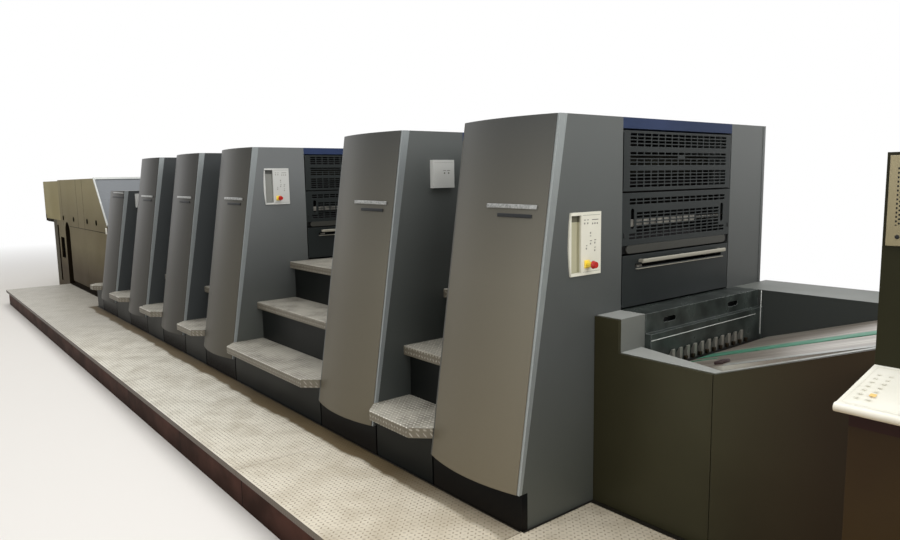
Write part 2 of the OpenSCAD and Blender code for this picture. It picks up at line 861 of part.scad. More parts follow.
module treads() {
    color("#b5b0a2") place()
        for (b = bays) {
            intersection() {
                across(b[0], b[1]) tread_profile(1, tread_front(1), riser_y(2));
                translate([0, 0, under(1)]) linear_extrude(tread_t)
                    polygon([[b[0], tread_front(1) + tread_cut], [b[0] + tread_cut, tread_front(1)],
                        [b[1] - tread_cut, tread_front(1)], [b[1], tread_front(1) + tread_cut],
                        [b[1], riser_y(2)], [b[0], riser_y(2)]]);
            }
            if (b[2] > 1) across(b[0], b[1]) tread_profile(2, tread_front(2), riser_y(3));
        }
}

module footboards() {
    color("#b5b0a2") place()
        for (b = bays) if (b[2] > 1) across(b[0], b[1]) tread_profile(3, tread_front(3), drive_y);
}

gallery_start = short_end - gallery_past;
well_plate = well_len + console_len;

// Plates of the gallery: [low x, high x, back y]
plates = [
    [gallery_start, gallery_start + gallery_past / 2, delivery_front - plate_back],
    [gallery_start + gallery_past / 2, delivery_x, delivery_front - plate_back],
    [delivery_x, unit_x(5) - unit_len / 2, -plate_back],
    [unit_x(5) - unit_len / 2, unit_x(4) + unit_len, -plate_back],
    [unit_x(4) + unit_len, unit_x(2) - unit_len / 2, -plate_back],
    [unit_x(2) - unit_len / 2, plate_back, -plate_back],
    [plate_back, well_plate, well_front - plate_back]];

module gallery_plates() {
    color("#b5b0a2") place()
        for (p = plates) block([p[0] + plate_gap, -gallery_w, -plate_t], [p[1], p[2], 0]);
}

module gallery_fascia() {
    color("#3a2622") place() {
        for (p = plates)
            block([p[0] + (p[0] == gallery_start ? fascia_back : plate_gap), -gallery_w + fascia_back, floor_z],
                [p[1] - (p[1] == well_plate ? fascia_back : 0), -gallery_w + fascia_back + fascia_t, -plate_t]);
        for (e = [[gallery_start + fascia_back, delivery_front - plate_back],
                [well_plate - fascia_back - fascia_t, well_front - plate_back]])
            block([e[0], -gallery_w + fascia_back + fascia_t + plate_gap, floor_z],
                [e[0] + fascia_t, e[1], -plate_t]);
    }
}

module gallery_bearers() {
    color("#4a4643") place()
        for (p = plates)
            for (x = [p[0] + fascia_back + 2 * fascia_t, (p[0] + p[1]) / 2, p[1] - bearer_w - fascia_back - 2 * fascia_t])
                block([x, -gallery_w + fascia_back + fascia_t, floor_z],
                    [x + bearer_w, p[2] + plate_back, -plate_t]);
}

module well_cladding() {
    gap = clad_seam / 2;
    color("#2f2e24") place() {
        along(well_front, well_front + clad_t)
            polygon([[gap, floor_z], [gap, well_high - clad_drop], [block_len, well_high - clad_drop],
                [block_len, well_low - clad_drop], [low_len - gap, well_low - clad_drop], [low_len - gap, floor_z]]);
        along(well_front, well_front + clad_t)
            polygon([[low_len + gap, floor_z], [low_len + gap, well_low - clad_drop],
                [well_len, well_end - clad_drop], [well_len, floor_z]]);
    }
}

// Plan of the low rim, wider by the clearance given
module low_rim_plan(more) {
    polygon([[block_len, well_front + clad_t], [low_len, well_front + clad_t],
        [low_len, well_front + rim_thin + more], [block_len, well_front + rim_wide + more]]);
}

module well_walls() {
    color("#77797b") place() {
        block([0, well_front + clad_t, floor_z], [block_len, core_y, well_high]);
        translate([0, 0, floor_z]) linear_extrude(gallery_h + well_low) low_rim_plan(0);
        along(well_front + clad_t, well_front + rim_thin)
            polygon([[low_len, floor_z], [low_len, well_low], [well_len, well_end], [well_len, floor_z]]);
    }
}

well_back = back_y - drive_rim;
cross_low = board_low - cross_under;
face_x = block_len + face_proud;
lay_x = face_x + ledge_in;
lay_y = core_y + lay_first;
lay_low = cross_low + lay_bar_r;

module cross_plate() {
    color("#3c4142") place() {
        difference() {
            block([0, core_y, cross_low], [face_x, well_back, well_high]);
            across(face_x - oval_d, face_x + 1)
                for (y = [core_y + oval_in, drive_y - oval_in])
                    oval(y, well_high - cross_face / 2, oval_len, oval_h);
        }
        block([face_x, core_y, cross_low], [lay_x, well_back, well_high - cross_face]);
    }
}

// Fingers that stop each sheet, on a round bar across the end of the board
module front_lays() {
    color("#a9a79f") place() {
        for (k = [0 : lay_count - 1])
            along(lay_y + k * lay_pitch, lay_y + k * lay_pitch + lay_w)
                polygon([[lay_x, lay_low], [lay_x, lay_top - lay_tip], [lay_x + lay_t - lay_nose, lay_top],
                    [lay_x + lay_t, lay_top], [lay_x + lay_t, lay_low]]);
        translate([lay_x + lay_bar_r, core_y, lay_low]) rotate([-90, 0, 0])
            cylinder(r = lay_bar_r, h = well_back - core_y, $fn = 32);
    }
}

module feed_board() {
    run = well_len + board_in - board_start;
    rise = run * tan(board_slope);
    color("#b9aea4") place()
        difference() {
            along(well_front + rim_thin + board_gap, well_back)
                polygon([[board_start, board_low], [board_start + run, board_low + rise],
                    [board_start + run, board_low + rise - board_t], [board_start, board_low - board_t]]);
            translate([0, 0, floor_z]) linear_extrude(gallery_h + well_high) low_rim_plan(board_gap);
            block([well_len - board_gap, well_front, floor_z],
                [well_len + board_in + 1, well_front + cabinet_t + board_gap, feeder_h]);
        }
}

module well_drive_side() {
    color("#6d6f71") place() block([0, well_back, floor_z], [well_len, back_y, well_high]);
}

module feeder_cabinet() {
    color("#2d2c23") place()
        block([well_len, well_front, floor_z], [well_len + feeder_len, well_front + cabinet_t, feeder_h]);
}

module feeder_drive_side() {
    color("#2d2c23") place()
        block([well_len, well_back, floor_z], [well_len + feeder_len, back_y, feeder_h]);
}

// Suction head that lifts the sheets, on two round bars between the feeder's sides
module feeder_head() {
    x = well_len + head_x;
    y0 = well_front + cabinet_t;
    mid = (y0 + well_back) / 2;
    color("#55585a") place() {
        for (dx = [head_bar_in, head_len - head_bar_in])
            translate([x + dx, y0, head_low + head_h / 2]) rotate([-90, 0, 0])
                cylinder(r = head_bar_r, h = well_back - y0, $fn = 32);
        along(mid - head_w / 2, mid + head_w / 2) translate([x, head_low])
            polygon([[0, 0], [0, head_h - head_slant], [head_slant, head_h], [head_len, head_h], [head_len, 0]]);
        for (dx = [head_bar_in, head_len - head_bar_in], s = [-1, 1])
            translate([x + dx, mid + s * sucker_out, head_low - sucker_len])
                cylinder(r1 = sucker_r, r2 = sucker_r / 2, h = sucker_len, $fn = 24);
    }
}

module perforated_panel() {
    color("#a89f86") place()
        block([well_len + panel_x, well_front - panel_t, panel_low],
            [well_len + panel_x + panel_len, well_front, feeder_h - panel_drop]);
}

console_y = well_front - console_d;

module console_body() {
    color("#2b1c15") place()
        across(well_len + console_in, well_len + console_len - console_in)
            polygon([[console_y + console_in, 0], [console_y + console_in, console_front - console_t],
                [well_front, console_back - console_t], [well_front, 0]]);
}

// Sloping desk top with a rounded front edge
module console_top() {
    r = console_t / 2;
    color("#e8e6da") place()
        across(well_len, well_len + console_len) {
            polygon([[console_y + r, console_front - console_t], [console_y + 2 * r, console_front - console_t],
                [well_front, console_back - console_t], [well_front, console_back],
                [console_y + 2 * r, console_front], [console_y + r, console_front]]);
            translate([console_y + r, console_front - r]) circle(r, $fn = 32);
        }
}

// Joint between two cover panels: a groove cut down both long sides at x, from z0 to z1
module panel_joint(x, z0, z1) {
    for (y = [delivery_front - 1, back_y - joint_d])
        block([x, y, z0], [x + joint_w, y + joint_d + 1, z1]);
}

// Tall recess with a round head beside the door panel; it runs from the body up into the hood
module arch_recess() {
    along(delivery_front - 1, delivery_front + recess_d) {
        translate([body_left + arch_x, 0]) square([arch_w, arch_top - arch_w / 2]);
        translate([body_left + arch_x + arch_w / 2, arch_top - arch_w / 2]) circle(d = arch_w, $fn = 48);
    }
}

module delivery_body() {
    color("#857f6c") place()
        difference() {
            along(delivery_front, back_y)
                polygon([[body_left, floor_z], [body_left, end_hood_low], [hood_left, end_hood_low],
                    [hood_left, delivery_low], [delivery_x, delivery_low], [delivery_x, floor_z]]);
            arch_recess();
            block([body_left + slit_x, delivery_front - 1, slit_z],
                [body_left + slit_x + slit_w, delivery_front + recess_d, slit_z + slit_h]);
            block([body_left + post_w, delivery_front - 1, 0],
                [body_left + post_w + post_joint_w, delivery_front + post_joint_d, end_hood_low - toe_h]);
            block([body_left + arch_x + arch_w, delivery_front - 1, 0],
                [delivery_x + 1, delivery_front + toe_d, toe_h]);
            panel_joint(body_left + arch_x + arch_w + door_len, toe_h, delivery_low + 1);
        }
}

// Round holes in the hood at these shares of its length along the top
inspection_holes = [0.09, 0.37, 0.70, 0.9];

module delivery_hood() {
    color("#8b8571") place()
        difference() {
            along(delivery_front, back_y)
                polygon([[hood_left, delivery_low], [hood_left, delivery_h], [hood_right, delivery_h],
                    [delivery_x, slope_low], [delivery_x, delivery_low]]);
            for (k = [1 : hood_panels - 1])
                panel_joint(hood_left + first_panel + (k - 1) * (hood_top - first_panel) / (hood_panels - 1),
                    delivery_low - 1, delivery_h + 1);
            arch_recess();
            for (s = inspection_holes)
                translate([hood_left + s * (hood_top + slope_run / 2), delivery_front - 1, delivery_low + hole_up])
                    rotate([-90, 0, 0]) cylinder(r = hole_r, h = hole_d + 1, $fn = 32);
        }
}

// Hood over the pile, with a rounded end and a downturned edge round its open underside
module delivery_end_hood() {
    top = delivery_h - end_step;
    color("#8b8571") place()
        difference() {
            along(delivery_front, back_y)
                difference() {
                    translate([x_min, end_hood_low]) square([hood_left - x_min, top - end_hood_low]);
                    translate([x_min, top - end_r])
                        difference() {
                            translate([-1, 0]) square(end_r + 1);
                            translate([end_r, 0]) circle(end_r, $fn = 48);
                        }
                }
            block([x_min + end_rim, delivery_front + end_rim, end_hood_low - 1],
                [hood_left - end_rim, back_y - end_rim, end_hood_low + end_rim_h]);
        }
}

module slope_cover() {
    rise = delivery_h - slope_low;
    len = sqrt(rise * rise + slope_run * slope_run);
    width = back_y - delivery_front;
    color("#b8c4cc") place()
        translate([hood_right, delivery_front, delivery_h]) rotate([0, atan(rise / slope_run), 0])
            difference() {
                block([0, 0, 0], [len, width, slope_t]);
                block([slope_bar, slope_bar, slope_t / 2], [len - slope_bar, width - slope_bar, slope_t + 1]);
            }
}

// Outline of a large control box, with the bowed edge of its grip towards the front
module box_outline() {
    bow_r = (pow(box_h / 2, 2) + pow(box_bow, 2)) / (2 * box_bow);
    translate([box_bow, 0]) square([box_w - box_bow, box_h]);
    intersection() {
        translate([bow_r, box_h / 2]) circle(bow_r, $fn = 180);
        square([box_bow + 1, box_h]);
    }
}

// Large control box on a tower side, with a grip pan that is let into the tower
module control_box(x, y, z) {
    difference() {
        union() {
            across(x, x + box_t) translate([y, z]) box_outline();
            block([x - pan_d, y + grip_in - pan_t, z + grip_in - pan_t],
                [x + box_t / 2, y + grip_in + grip_w + pan_t, z + box_h - grip_in + pan_t]);
        }
        block([x - pan_d + pan_t, y + grip_in, z + grip_in],
            [x + box_t + 1, y + grip_in + grip_w, z + box_h - grip_in]);
    }
}

// Large control boxes: [face x, low y, low z]
boxes = [[unit_x(1), box_1_y, tower_h - box_1_drop - box_h], [unit_x(3), box_3_y, tower_h - box_3_drop - box_h]];

module control_boxes() {
    color("#e8e6da") place() for (b = boxes) control_box(b[0], b[1], b[2]);
}

// Small key boxes: [face x, low y, top z]
small_boxes = concat([for (i = [2, 4, 5]) [unit_x(i), key_y, tower_h - key_drop]],
    [[short_x, short_key_y, short_h - short_key_drop]]);

module key_boxes() {
    color("#e8e6da") place()
        for (b = small_boxes)
            block([b[0], b[1], b[2] - key_h], [b[0] + key_t, b[1] + key_w, b[2]]);
}

// Mushroom head on its stem, at the lower drive-side corner of a large control box
module stop_button(b) {
    translate([b[0] + box_t, b[1] + box_w - stop_in, b[2] + stop_up]) rotate([0, 90, 0]) {
        cylinder(r = stem_r, h = stem_len, $fn = 32);
        translate([0, 0, stem_len]) cylinder(r1 = stop_r, r2 = stop_r - stop_edge, h = stop_t, $fn = 32);
    }
}

module stop_buttons() {
    color("#c0281f") place() for (b = boxes) stop_button(b);
}

operator_towers();
front_covers();
edge_strips();
plinths();
drive_towers();
gear_side_base();
unit_bases();
unit_backs();
short_unit_body();
visors();
middle_guards();
cylinders();
ink_rollers();
ink_fountains();
upper_guard(1);  // upper_guard_1
upper_guard(2);  // upper_guard_2
upper_guard(3);  // upper_guard_3
upper_guard(4);  // upper_guard_4
upper_guard(5);  // upper_guard_5
lower_guard(1);  // lower_guard_1
lower_guard(2);  // lower_guard_2
lower_guard(3);  // lower_guard_3
lower_guard(4);  // lower_guard_4
lower_guard(5);  // lower_guard_5
step_bodies();
treads();
footboards();
gallery_plates();
gallery_fascia();
gallery_bearers();
well_cladding();
well_walls();
cross_plate();
front_lays();
feed_board();
well_drive_side();
feeder_cabinet();
feeder_drive_side();
feeder_head();
perforated_panel();
console_body();
console_top();
delivery_body();
delivery_hood();
delivery_end_hood();
slope_cover();
control_boxes();
key_boxes();
stop_buttons();
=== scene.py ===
import math

import bpy
from mathutils import Matrix, Vector


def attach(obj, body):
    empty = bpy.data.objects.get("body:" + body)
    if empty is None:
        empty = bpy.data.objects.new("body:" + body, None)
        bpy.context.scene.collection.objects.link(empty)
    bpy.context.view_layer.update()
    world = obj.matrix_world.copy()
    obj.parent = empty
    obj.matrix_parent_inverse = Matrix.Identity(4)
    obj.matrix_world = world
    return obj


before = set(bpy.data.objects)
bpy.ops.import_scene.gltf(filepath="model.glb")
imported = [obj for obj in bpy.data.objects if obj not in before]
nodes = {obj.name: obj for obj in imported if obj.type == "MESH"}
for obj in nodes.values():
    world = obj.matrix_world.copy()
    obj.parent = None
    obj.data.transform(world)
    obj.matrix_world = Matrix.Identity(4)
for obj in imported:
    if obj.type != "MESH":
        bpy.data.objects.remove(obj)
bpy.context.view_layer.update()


# Camera. It stands at eye height beside the feeder and looks down the whole line.
# Its place and angles were worked out from the corners of the printing units.
def at(x, y, z):
    """A point in metres from the press's own millimetres: x from unit 1's feeder-side face,
    y from the foot of the towers, z from the top of the gallery."""
    return Vector(((x + 3830) / 1000, (y - 595) / 1000, (z + 190) / 1000))


CAMERA_YAW = math.radians(51.1066)
CAMERA_DOWN = math.radians(7.3911)
CAMERA_ROLL = math.radians(-0.99928)
bpy.ops.object.camera_add(location=at(1782.7, -1764.5, 1320.5))
camera = bpy.context.object
camera.data.sensor_width = 36
camera.data.lens = 28.063
camera.data.clip_end = 100
ahead = Vector((-math.sin(CAMERA_YAW) * math.cos(CAMERA_DOWN), math.cos(CAMERA_YAW) * math.cos(CAMERA_DOWN),
                -math.sin(CAMERA_DOWN)))
level = Vector((math.cos(CAMERA_YAW), math.sin(CAMERA_YAW), 0))
above = level.cross(ahead)
right = level * math.cos(CAMERA_ROLL) + above * math.sin(CAMERA_ROLL)
up = above * math.cos(CAMERA_ROLL) - level * math.sin(CAMERA_ROLL)
camera.rotation_mode = "QUATERNION"
camera.rotation_quaternion = Matrix((right, up, -ahead)).transposed().to_quaternion()
bpy.context.scene.camera = camera
bpy.context.scene.view_settings.view_transform = "Standard"


# Studio. A pale plain floor under the press, a white surround and five large soft lamps:
# one above the line, one along each side of it and one at each end.
def linear(hex_colour):
    """An sRGB hex colour as the linear colour that shaders take."""
    parts = [int(hex_colour[i:i + 2], 16) / 255 for i in (0, 2, 4)]
    return tuple(c / 12.92 if c <= 0.04045 else ((c + 0.055) / 1.055) ** 2.4 for c in parts) + (1.0,)


def plug(node, inputs):
    """Sets a node's inputs, by name or number: to a value, or linked to a (node, output) pair."""
    for socket, value in inputs.items():
        if isinstance(value, tuple) and isinstance(value[0], bpy.types.Node):
            node.id_data.links.new(value[0].outputs[value[1]], node.inputs[socket])
        else:
            node.inputs[socket].default_value = value


def add(tree, kind, inputs=None, stops=None, **settings):
    """Adds a shader node with its inputs and settings, and a colour ramp's hex colours by place."""
    new = tree.nodes.new("ShaderNode" + kind)
    for name, value in settings.items():
        setattr(new, name, value)
    plug(new, inputs or {})
    if stops:
        ramp = new.color_ramp
        while len(ramp.elements) < len(stops):
            ramp.elements.new(0.5)
        for element, (place, colour) in zip(ramp.elements, stops.items()):
            element.position = place
            element.color = linear(colour)
    return new


def new_material(name):
    """A new material, its node tree, its shader, and the place on the piece that patterns read."""
    made = bpy.data.materials.new(name)
    made.use_nodes = True
    tree = made.node_tree
    return made, tree, tree.nodes["Principled BSDF"], add(tree, "TexCoord")


bpy.ops.object.select_all(action="DESELECT")
bpy.ops.mesh.primitive_plane_add(size=90, location=(0, 0, 0))
floor = bpy.context.object
floor.name = "floor"
floor_paint, tree, shader, place = new_material("pale_floor_paint")
plug(shader, {"Base Color": linear("e4e1dd"), "Roughness": 0.8, "Specular IOR Level": 0.1})
# the paint fades to the white surround from 3 to 6.5 m, in an oval as long as the line
ring = add(tree, "VectorMath", {0: (place, "Object"), 1: (0.42, 1.0, 1.0)}, operation="MULTIPLY")
reach = add(tree, "VectorMath", {0: (ring, 0)}, operation="LENGTH")
far = add(tree, "MapRange", {"Value": (reach, "Value"), "From Min": 3.0, "From Max": 6.5})
path = add(tree, "LightPath")
shown = add(tree, "Math", {0: (path, "Is Camera Ray"), 1: (far, "Result")}, operation="MULTIPLY")
white = add(tree, "Emission", {"Color": (1, 1, 1, 1), "Strength": 1.0})
faded = add(tree, "MixShader", {0: (shown, 0), 1: (shader, 0), 2: (white, 0)})
plug(tree.nodes["Material Output"], {"Surface": (faded, 0)})
floor.data.materials.append(floor_paint)

world = bpy.data.worlds.new("white_studio")
bpy.context.scene.world = world
world.use_nodes = True
tree = world.node_tree
tree.nodes.clear()
path = add(tree, "LightPath")
seen = add(tree, "Math", {0: (path, "Is Camera Ray"), 1: (path, "Is Transmission Ray")}, operation="MAXIMUM")
seen = add(tree, "Math", {0: (seen, 0), 1: (path, "Is Glossy Ray")}, operation="MAXIMUM")
surround = add(tree, "Background", {"Color": linear("fbf9f4"), "Strength": 0.5})
backdrop = add(tree, "Background", {"Color": (1, 1, 1, 1), "Strength": 1.0})
mixed = add(tree, "MixShader", {0: (seen, 0), 1: (surround, 0), 2: (backdrop, 0)})
add(tree, "OutputWorld", {"Surface": (mixed, 0)})

for name, place, aim, size, power in (
        ("top_lamp", (0, -0.5, 4.8), (0, 0, 0), (14.0, 4.0), 290),
        ("aisle_lamp", (4.0, -6.5, 2.4), (3.0, 0, 0.6), (7.0, 3.0), 78),
        ("delivery_end_lamp", (-13.0, -5.0, 3.4), (-3.0, 0, 0.9), (4.0, 3.0), 40),
        ("drive_side_lamp", (0, 8.0, 3.0), (0, 0, 0.8), (14.0, 3.0), 120),
        ("feeder_end_lamp", (10.5, -1.5, 4.2), (3.0, 0, 1.2), (5.0, 3.0), 330)):
    lamp = bpy.data.lights.new(name, "AREA")
    lamp.shape = "RECTANGLE"
    lamp.size, lamp.size_y = size
    lamp.energy = power
    holder = bpy.data.objects.new(name, lamp)
    holder.location = place
    holder.rotation_mode = "QUATERNION"
    holder.rotation_quaternion = (Vector(aim) - Vector(place)).to_track_quat("-Z", "Y")
    bpy.context.scene.collection.objects.link(holder)


# Side panels of the towers. Folded sheet steel, sprayed and stoved in a dark grey structure paint, screwed
# to the frame from behind. A fine orange peel breaks up what it reflects, and worn edges shine a little.
UNIT_FACES = [0, -1000, -2733, -3733, -4733]
SHORT_FACE = -5774
TOWER_TOPS = [(face, 1555) for face in UNIT_FACES] + [(SHORT_FACE, 1257)]


def sprayed_steel(name, face, shade, rough, peel_mm=2.5, peel=0.12, cloud_mm=700, edge="8d9294", worn=0.35,
                  edge_mm=2.0, metallic=0.0, shine=0.25):
    """Painted sheet steel: cloudy colour, fine bump of the given grain, and edges where the paint is thin."""
    made, tree, shader, place = new_material(name)
    cloud = add(tree, "TexNoise", {"Vector": (place, "Object"), "Scale": 1000 / cloud_mm, "Detail": 4})
    tint = add(tree, "ValToRGB", {"Fac": (cloud, "Fac")}, stops={0.38: shade, 0.62: face})
    grain = add(tree, "TexNoise", {"Vector": (place, "Object"), "Scale": 1000 / peel_mm, "Detail": 2})
    rounded = add(tree, "Bevel", {"Radius": edge_mm / 1000}, samples=4)
    flat = add(tree, "NewGeometry")
    turn = add(tree, "VectorMath", {0: (rounded, "Normal"), 1: (flat, "Normal")}, operation="DOT_PRODUCT")
    rim = add(tree, "MapRange", {"Value": (turn, "Value"), "From Min": 0.99, "From Max": 0.85, "To Max": worn})
    colour = add(tree, "Mix", {0: (rim, "Result"), 6: (tint, "Color"), 7: linear(edge)}, data_type="RGBA")
    bump = add(tree, "Bump", {"Height": (grain, "Fac"), "Normal": (rounded, "Normal"), "Strength": peel,
                              "Distance": peel_mm / 4000})
    gloss = add(tree, "MapRange", {"Value": (cloud, "Fac"), "From Min": 0.3, "From Max": 0.7,
                                   "To Min": rough + 0.04, "To Max": rough - 0.04})
    plug(shader, {"Base Color": (colour, 2), "Roughness": (gloss, "Result"), "Normal": (bump, "Normal"),
                  "Metallic": metallic, "Specular IOR Level": shine})
    return made


def dress(finish, *names):
    """Gives CAD nodes a finish."""
    for n in names:
        nodes[n].data.materials.clear()
        nodes[n].data.materials.append(finish)


def near(face, gap=2):
    """The limits of a thin layer round a face."""
    return face - gap, face + gap


def region(tree, apart, **limits):
    """1 inside a box whose limits are press millimetres, such as x=(0, 20), and 0 outside it."""
    mask = None
    for axis, (low, high) in limits.items():
        k = "xyz".index(axis)
        a, b = at(low, low, low)[k], at(high, high, high)[k]
        part = add(tree, "Math", {0: (apart, axis.upper()), 1: (a + b) / 2, 2: (b - a) / 2}, operation="COMPARE")
        mask = part if mask is None else add(tree, "Math", {0: (mask, 0), 1: (part, 0)}, operation="MULTIPLY")
    return mask


def mix_in(finish, colour, mask, *more_masks):
    """Mixes another colour into a finish where all the masks allow it."""
    tree = finish.node_tree
    for other in more_masks:
        mask = add(tree, "Math", {0: (mask, 0), 1: (other, 0)}, operation="MULTIPLY")
    shader = tree.nodes["Principled BSDF"]
    old = shader.inputs["Base Color"].links[0]
    mixed = add(tree, "Mix", {0: (mask, 0), 7: linear(colour)}, data_type="RGBA")
    tree.links.new(old.from_socket, mixed.inputs[6])
    plug(shader, {"Base Color": (mixed, 2)})


def repaint(finish, colour, boxes, dull=False):
    """Gives the parts of a finish inside some boxes another colour, dull if asked, and returns their mask."""
    tree = finish.node_tree
    apart = add(tree, "SeparateXYZ", {0: (add(tree, "TexCoord"), "Object")})
    mask = None
    for limits in boxes:
        part = region(tree, apart, **limits)
        mask = part if mask is None else add(tree, "Math", {0: (mask, 0), 1: (part, 0)}, operation="MAXIMUM")
    mix_in(finish, colour, mask)
    if dull:
        shader = tree.nodes["Principled BSDF"]
        gloss = shader.inputs["Roughness"].links[0].from_node
        duller = add(tree, "Math", {0: (mask, 0), 1: (gloss, 0)}, operation="MAXIMUM")
        plug(shader, {"Roughness": (duller, 0)})
    return mask


def shade_to(finish, colour, axis, start, end, most=1.0, **within):
    """Lets a finish change to another colour from one height or place to another, in press millimetres.
    Limits such as x=(0, 20) keep the change inside a box."""
    tree = finish.node_tree
    apart = add(tree, "SeparateXYZ", {0: (add(tree, "TexCoord"), "Object")})
    k = "xyz".index(axis)
    ends = {"From Min": at(start, start, start)[k], "From Max": at(end, end, end)[k], "To Max": most}
    masks = [add(tree, "MapRange", {"Value": (apart, axis.upper()), **ends})]
    if within:
        masks.append(region(tree, apart, **within))
    mix_in(finish, colour, *masks)


def shade_faces(finish, colour, facing_up, most=1.0):
    """Gives either the level faces or the upright faces of a finish another colour."""
    tree = finish.node_tree
    facing = add(tree, "SeparateXYZ", {0: (add(tree, "NewGeometry"), "Normal")})
    start, end = (0.3, 0.6) if facing_up else (0.6, 0.3)
    mix_in(finish, colour, add(tree, "MapRange", {"Value": (facing, "Z"), "From Min": start, "From Max": end,
                                                  "To Max": most}))


housing_paint = sprayed_steel("dark_grey_structure_paint", "4b4e4d", "454746", 0.42, cloud_mm=900)
# painted light and shade: the side panels are painted darker and warmer towards the foot and lighter towards the
# top, unit 2's face darker, unit 3's face lighter and the faces of units 4, 5 and the short unit darker, as the
# light falls on them
shade_to(housing_paint, "454742", "z", 650, 100)
shade_to(housing_paint, "575a59", "z", 850, 1500)
shade_to(housing_paint, "3a3d3b", "z", 1450, 600, x=near(UNIT_FACES[1]))
shade_to(housing_paint, "6c6f70", "z", 600, 1350, 0.9, x=near(UNIT_FACES[2]))
repaint(housing_paint, "393c3d", [{"x": near(face)} for face in UNIT_FACES[3:] + [SHORT_FACE]])
# painted shade: the inside of the towers, beside the cylinders, is painted near black and dull
repaint(housing_paint, "101111", [{"x": (face - 536, face - 4), "y": near(578, 1), "z": (200, 1500)}
                                  for face in UNIT_FACES], dull=True)
dress(housing_paint, "operator_towers", "drive_towers")


# Front covers. Bowed aluminium sheet in a silver grey metallic lacquer, hooked over the towers' front.
# Fine metal flakes make it shimmer. Its colour is painted light: darker and cooler towards the top, warmer and
# lighter low down as a painted reflection of the floor, and darker towards the delivery end.
def roughen(shader, height, strength, deep, round_mm=0):
    """Presses a grain into a finish, and lets its edges catch the light as if rounded."""
    tree = shader.id_data
    inputs = {"Height": height, "Strength": strength, "Distance": deep}
    if round_mm:
        rounded = add(tree, "Bevel", {"Radius": round_mm / 1000}, samples=4)
        inputs["Normal"] = (rounded, "Normal")
    plug(shader, {"Normal": (add(tree, "Bump", inputs), "Normal")})


FLAKE_MM = 1.2
cover_lacquer, tree, shader, place = new_material("silver_grey_metallic_lacquer")
apart = add(tree, "SeparateXYZ", {0: (place, "Object")})
# painted light: the colour runs from warm and light at the foot, a painted reflection of the floor, to dark at the
# top
height = add(tree, "MapRange", {"Value": (apart, "Z"), "From Min": 0.33, "From Max": 1.75})
tint = add(tree, "ValToRGB", {"Fac": (height, "Result")}, stops={0.0: "6a6353", 0.55: "625e53", 1.0: "434442"})
flake = add(tree, "TexNoise", {"Vector": (place, "Object"), "Scale": 1000 / FLAKE_MM, "Detail": 1})
sparkle = add(tree, "MapRange", {"Value": (flake, "Fac"), "From Min": 0.35, "From Max": 0.65,
                                 "To Min": 0.94, "To Max": 1.06})
colour = add(tree, "VectorMath", {0: (tint, "Color"), "Scale": (sparkle, "Result")}, operation="SCALE")
roughen(shader, (flake, "Fac"), 0.05, 0.0003, round_mm=3)
plug(shader, {"Base Color": (colour, 0), "Metallic": 0.4, "Roughness": 0.42, "Specular IOR Level": 0.2})
# painted shade: the covers darken towards the delivery end
shade_to(cover_lacquer, "35342f", "x", -200, -3000, 0.72)
shade_to(cover_lacquer, "242424", "x", -2900, -3900, 0.5)
dress(cover_lacquer, "front_covers")


# Trim bars on the front covers. A slim bar of chrome-plated zinc, which mirrors softly, and a thin dark
# anodised bar below it. Both are curved to the cover and held by studs from behind.
COVER_HALF_WIDTH = 270
COVER_BOW = 40
COVER_FOOT = (-15, 142)
COVER_RADIUS = (COVER_HALF_WIDTH ** 2 + COVER_BOW ** 2) / (2 * COVER_BOW)
COVER_LEAN = math.atan(220 / 1413)


def mottled(name, scale, stops, detail=2, stretch=(1, 1, 1), **sockets):
    """A finish whose colour wavers with a noise. stretch draws the noise out into the marks of grinding
    or brushing. It also returns the tree, the shader, the place and the noise."""
    made, tree, shader, place = new_material(name)
    drawn = add(tree, "Mapping", {"Vector": (place, "Object"), "Scale": stretch})
    noise = add(tree, "TexNoise", {"Vector": (drawn, "Vector"), "Scale": scale, "Detail": detail})
    tint = add(tree, "ValToRGB", {"Fac": (noise, "Fac")}, stops=stops)
    plug(shader, {"Base Color": (tint, "Color"), **sockets})
    return made, tree, shader, place, noise


def settle(piece, finish, body="root", smooth=35):
    """Puts a finished piece's place into its mesh, and gives it its finish and body."""
    bpy.ops.object.select_all(action="DESELECT")
    piece.select_set(True)
    bpy.context.view_layer.objects.active = piece
    bpy.ops.object.transform_apply(location=True, rotation=True, scale=True)
    if smooth:
        bpy.ops.object.shade_smooth_by_angle(angle=math.radians(smooth))
    piece.data.materials.clear()
    piece.data.materials.append(finish)
    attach(piece, body)


def weld(pieces, name):
    """Joins like pieces into one object with one mesh."""
    bpy.ops.object.select_all(action="DESELECT")
    for p in pieces:
        p.select_set(True)
    bpy.context.view_layer.objects.active = pieces[0]
    bpy.ops.object.join()
    bpy.context.object.name = name
    return bpy.context.object


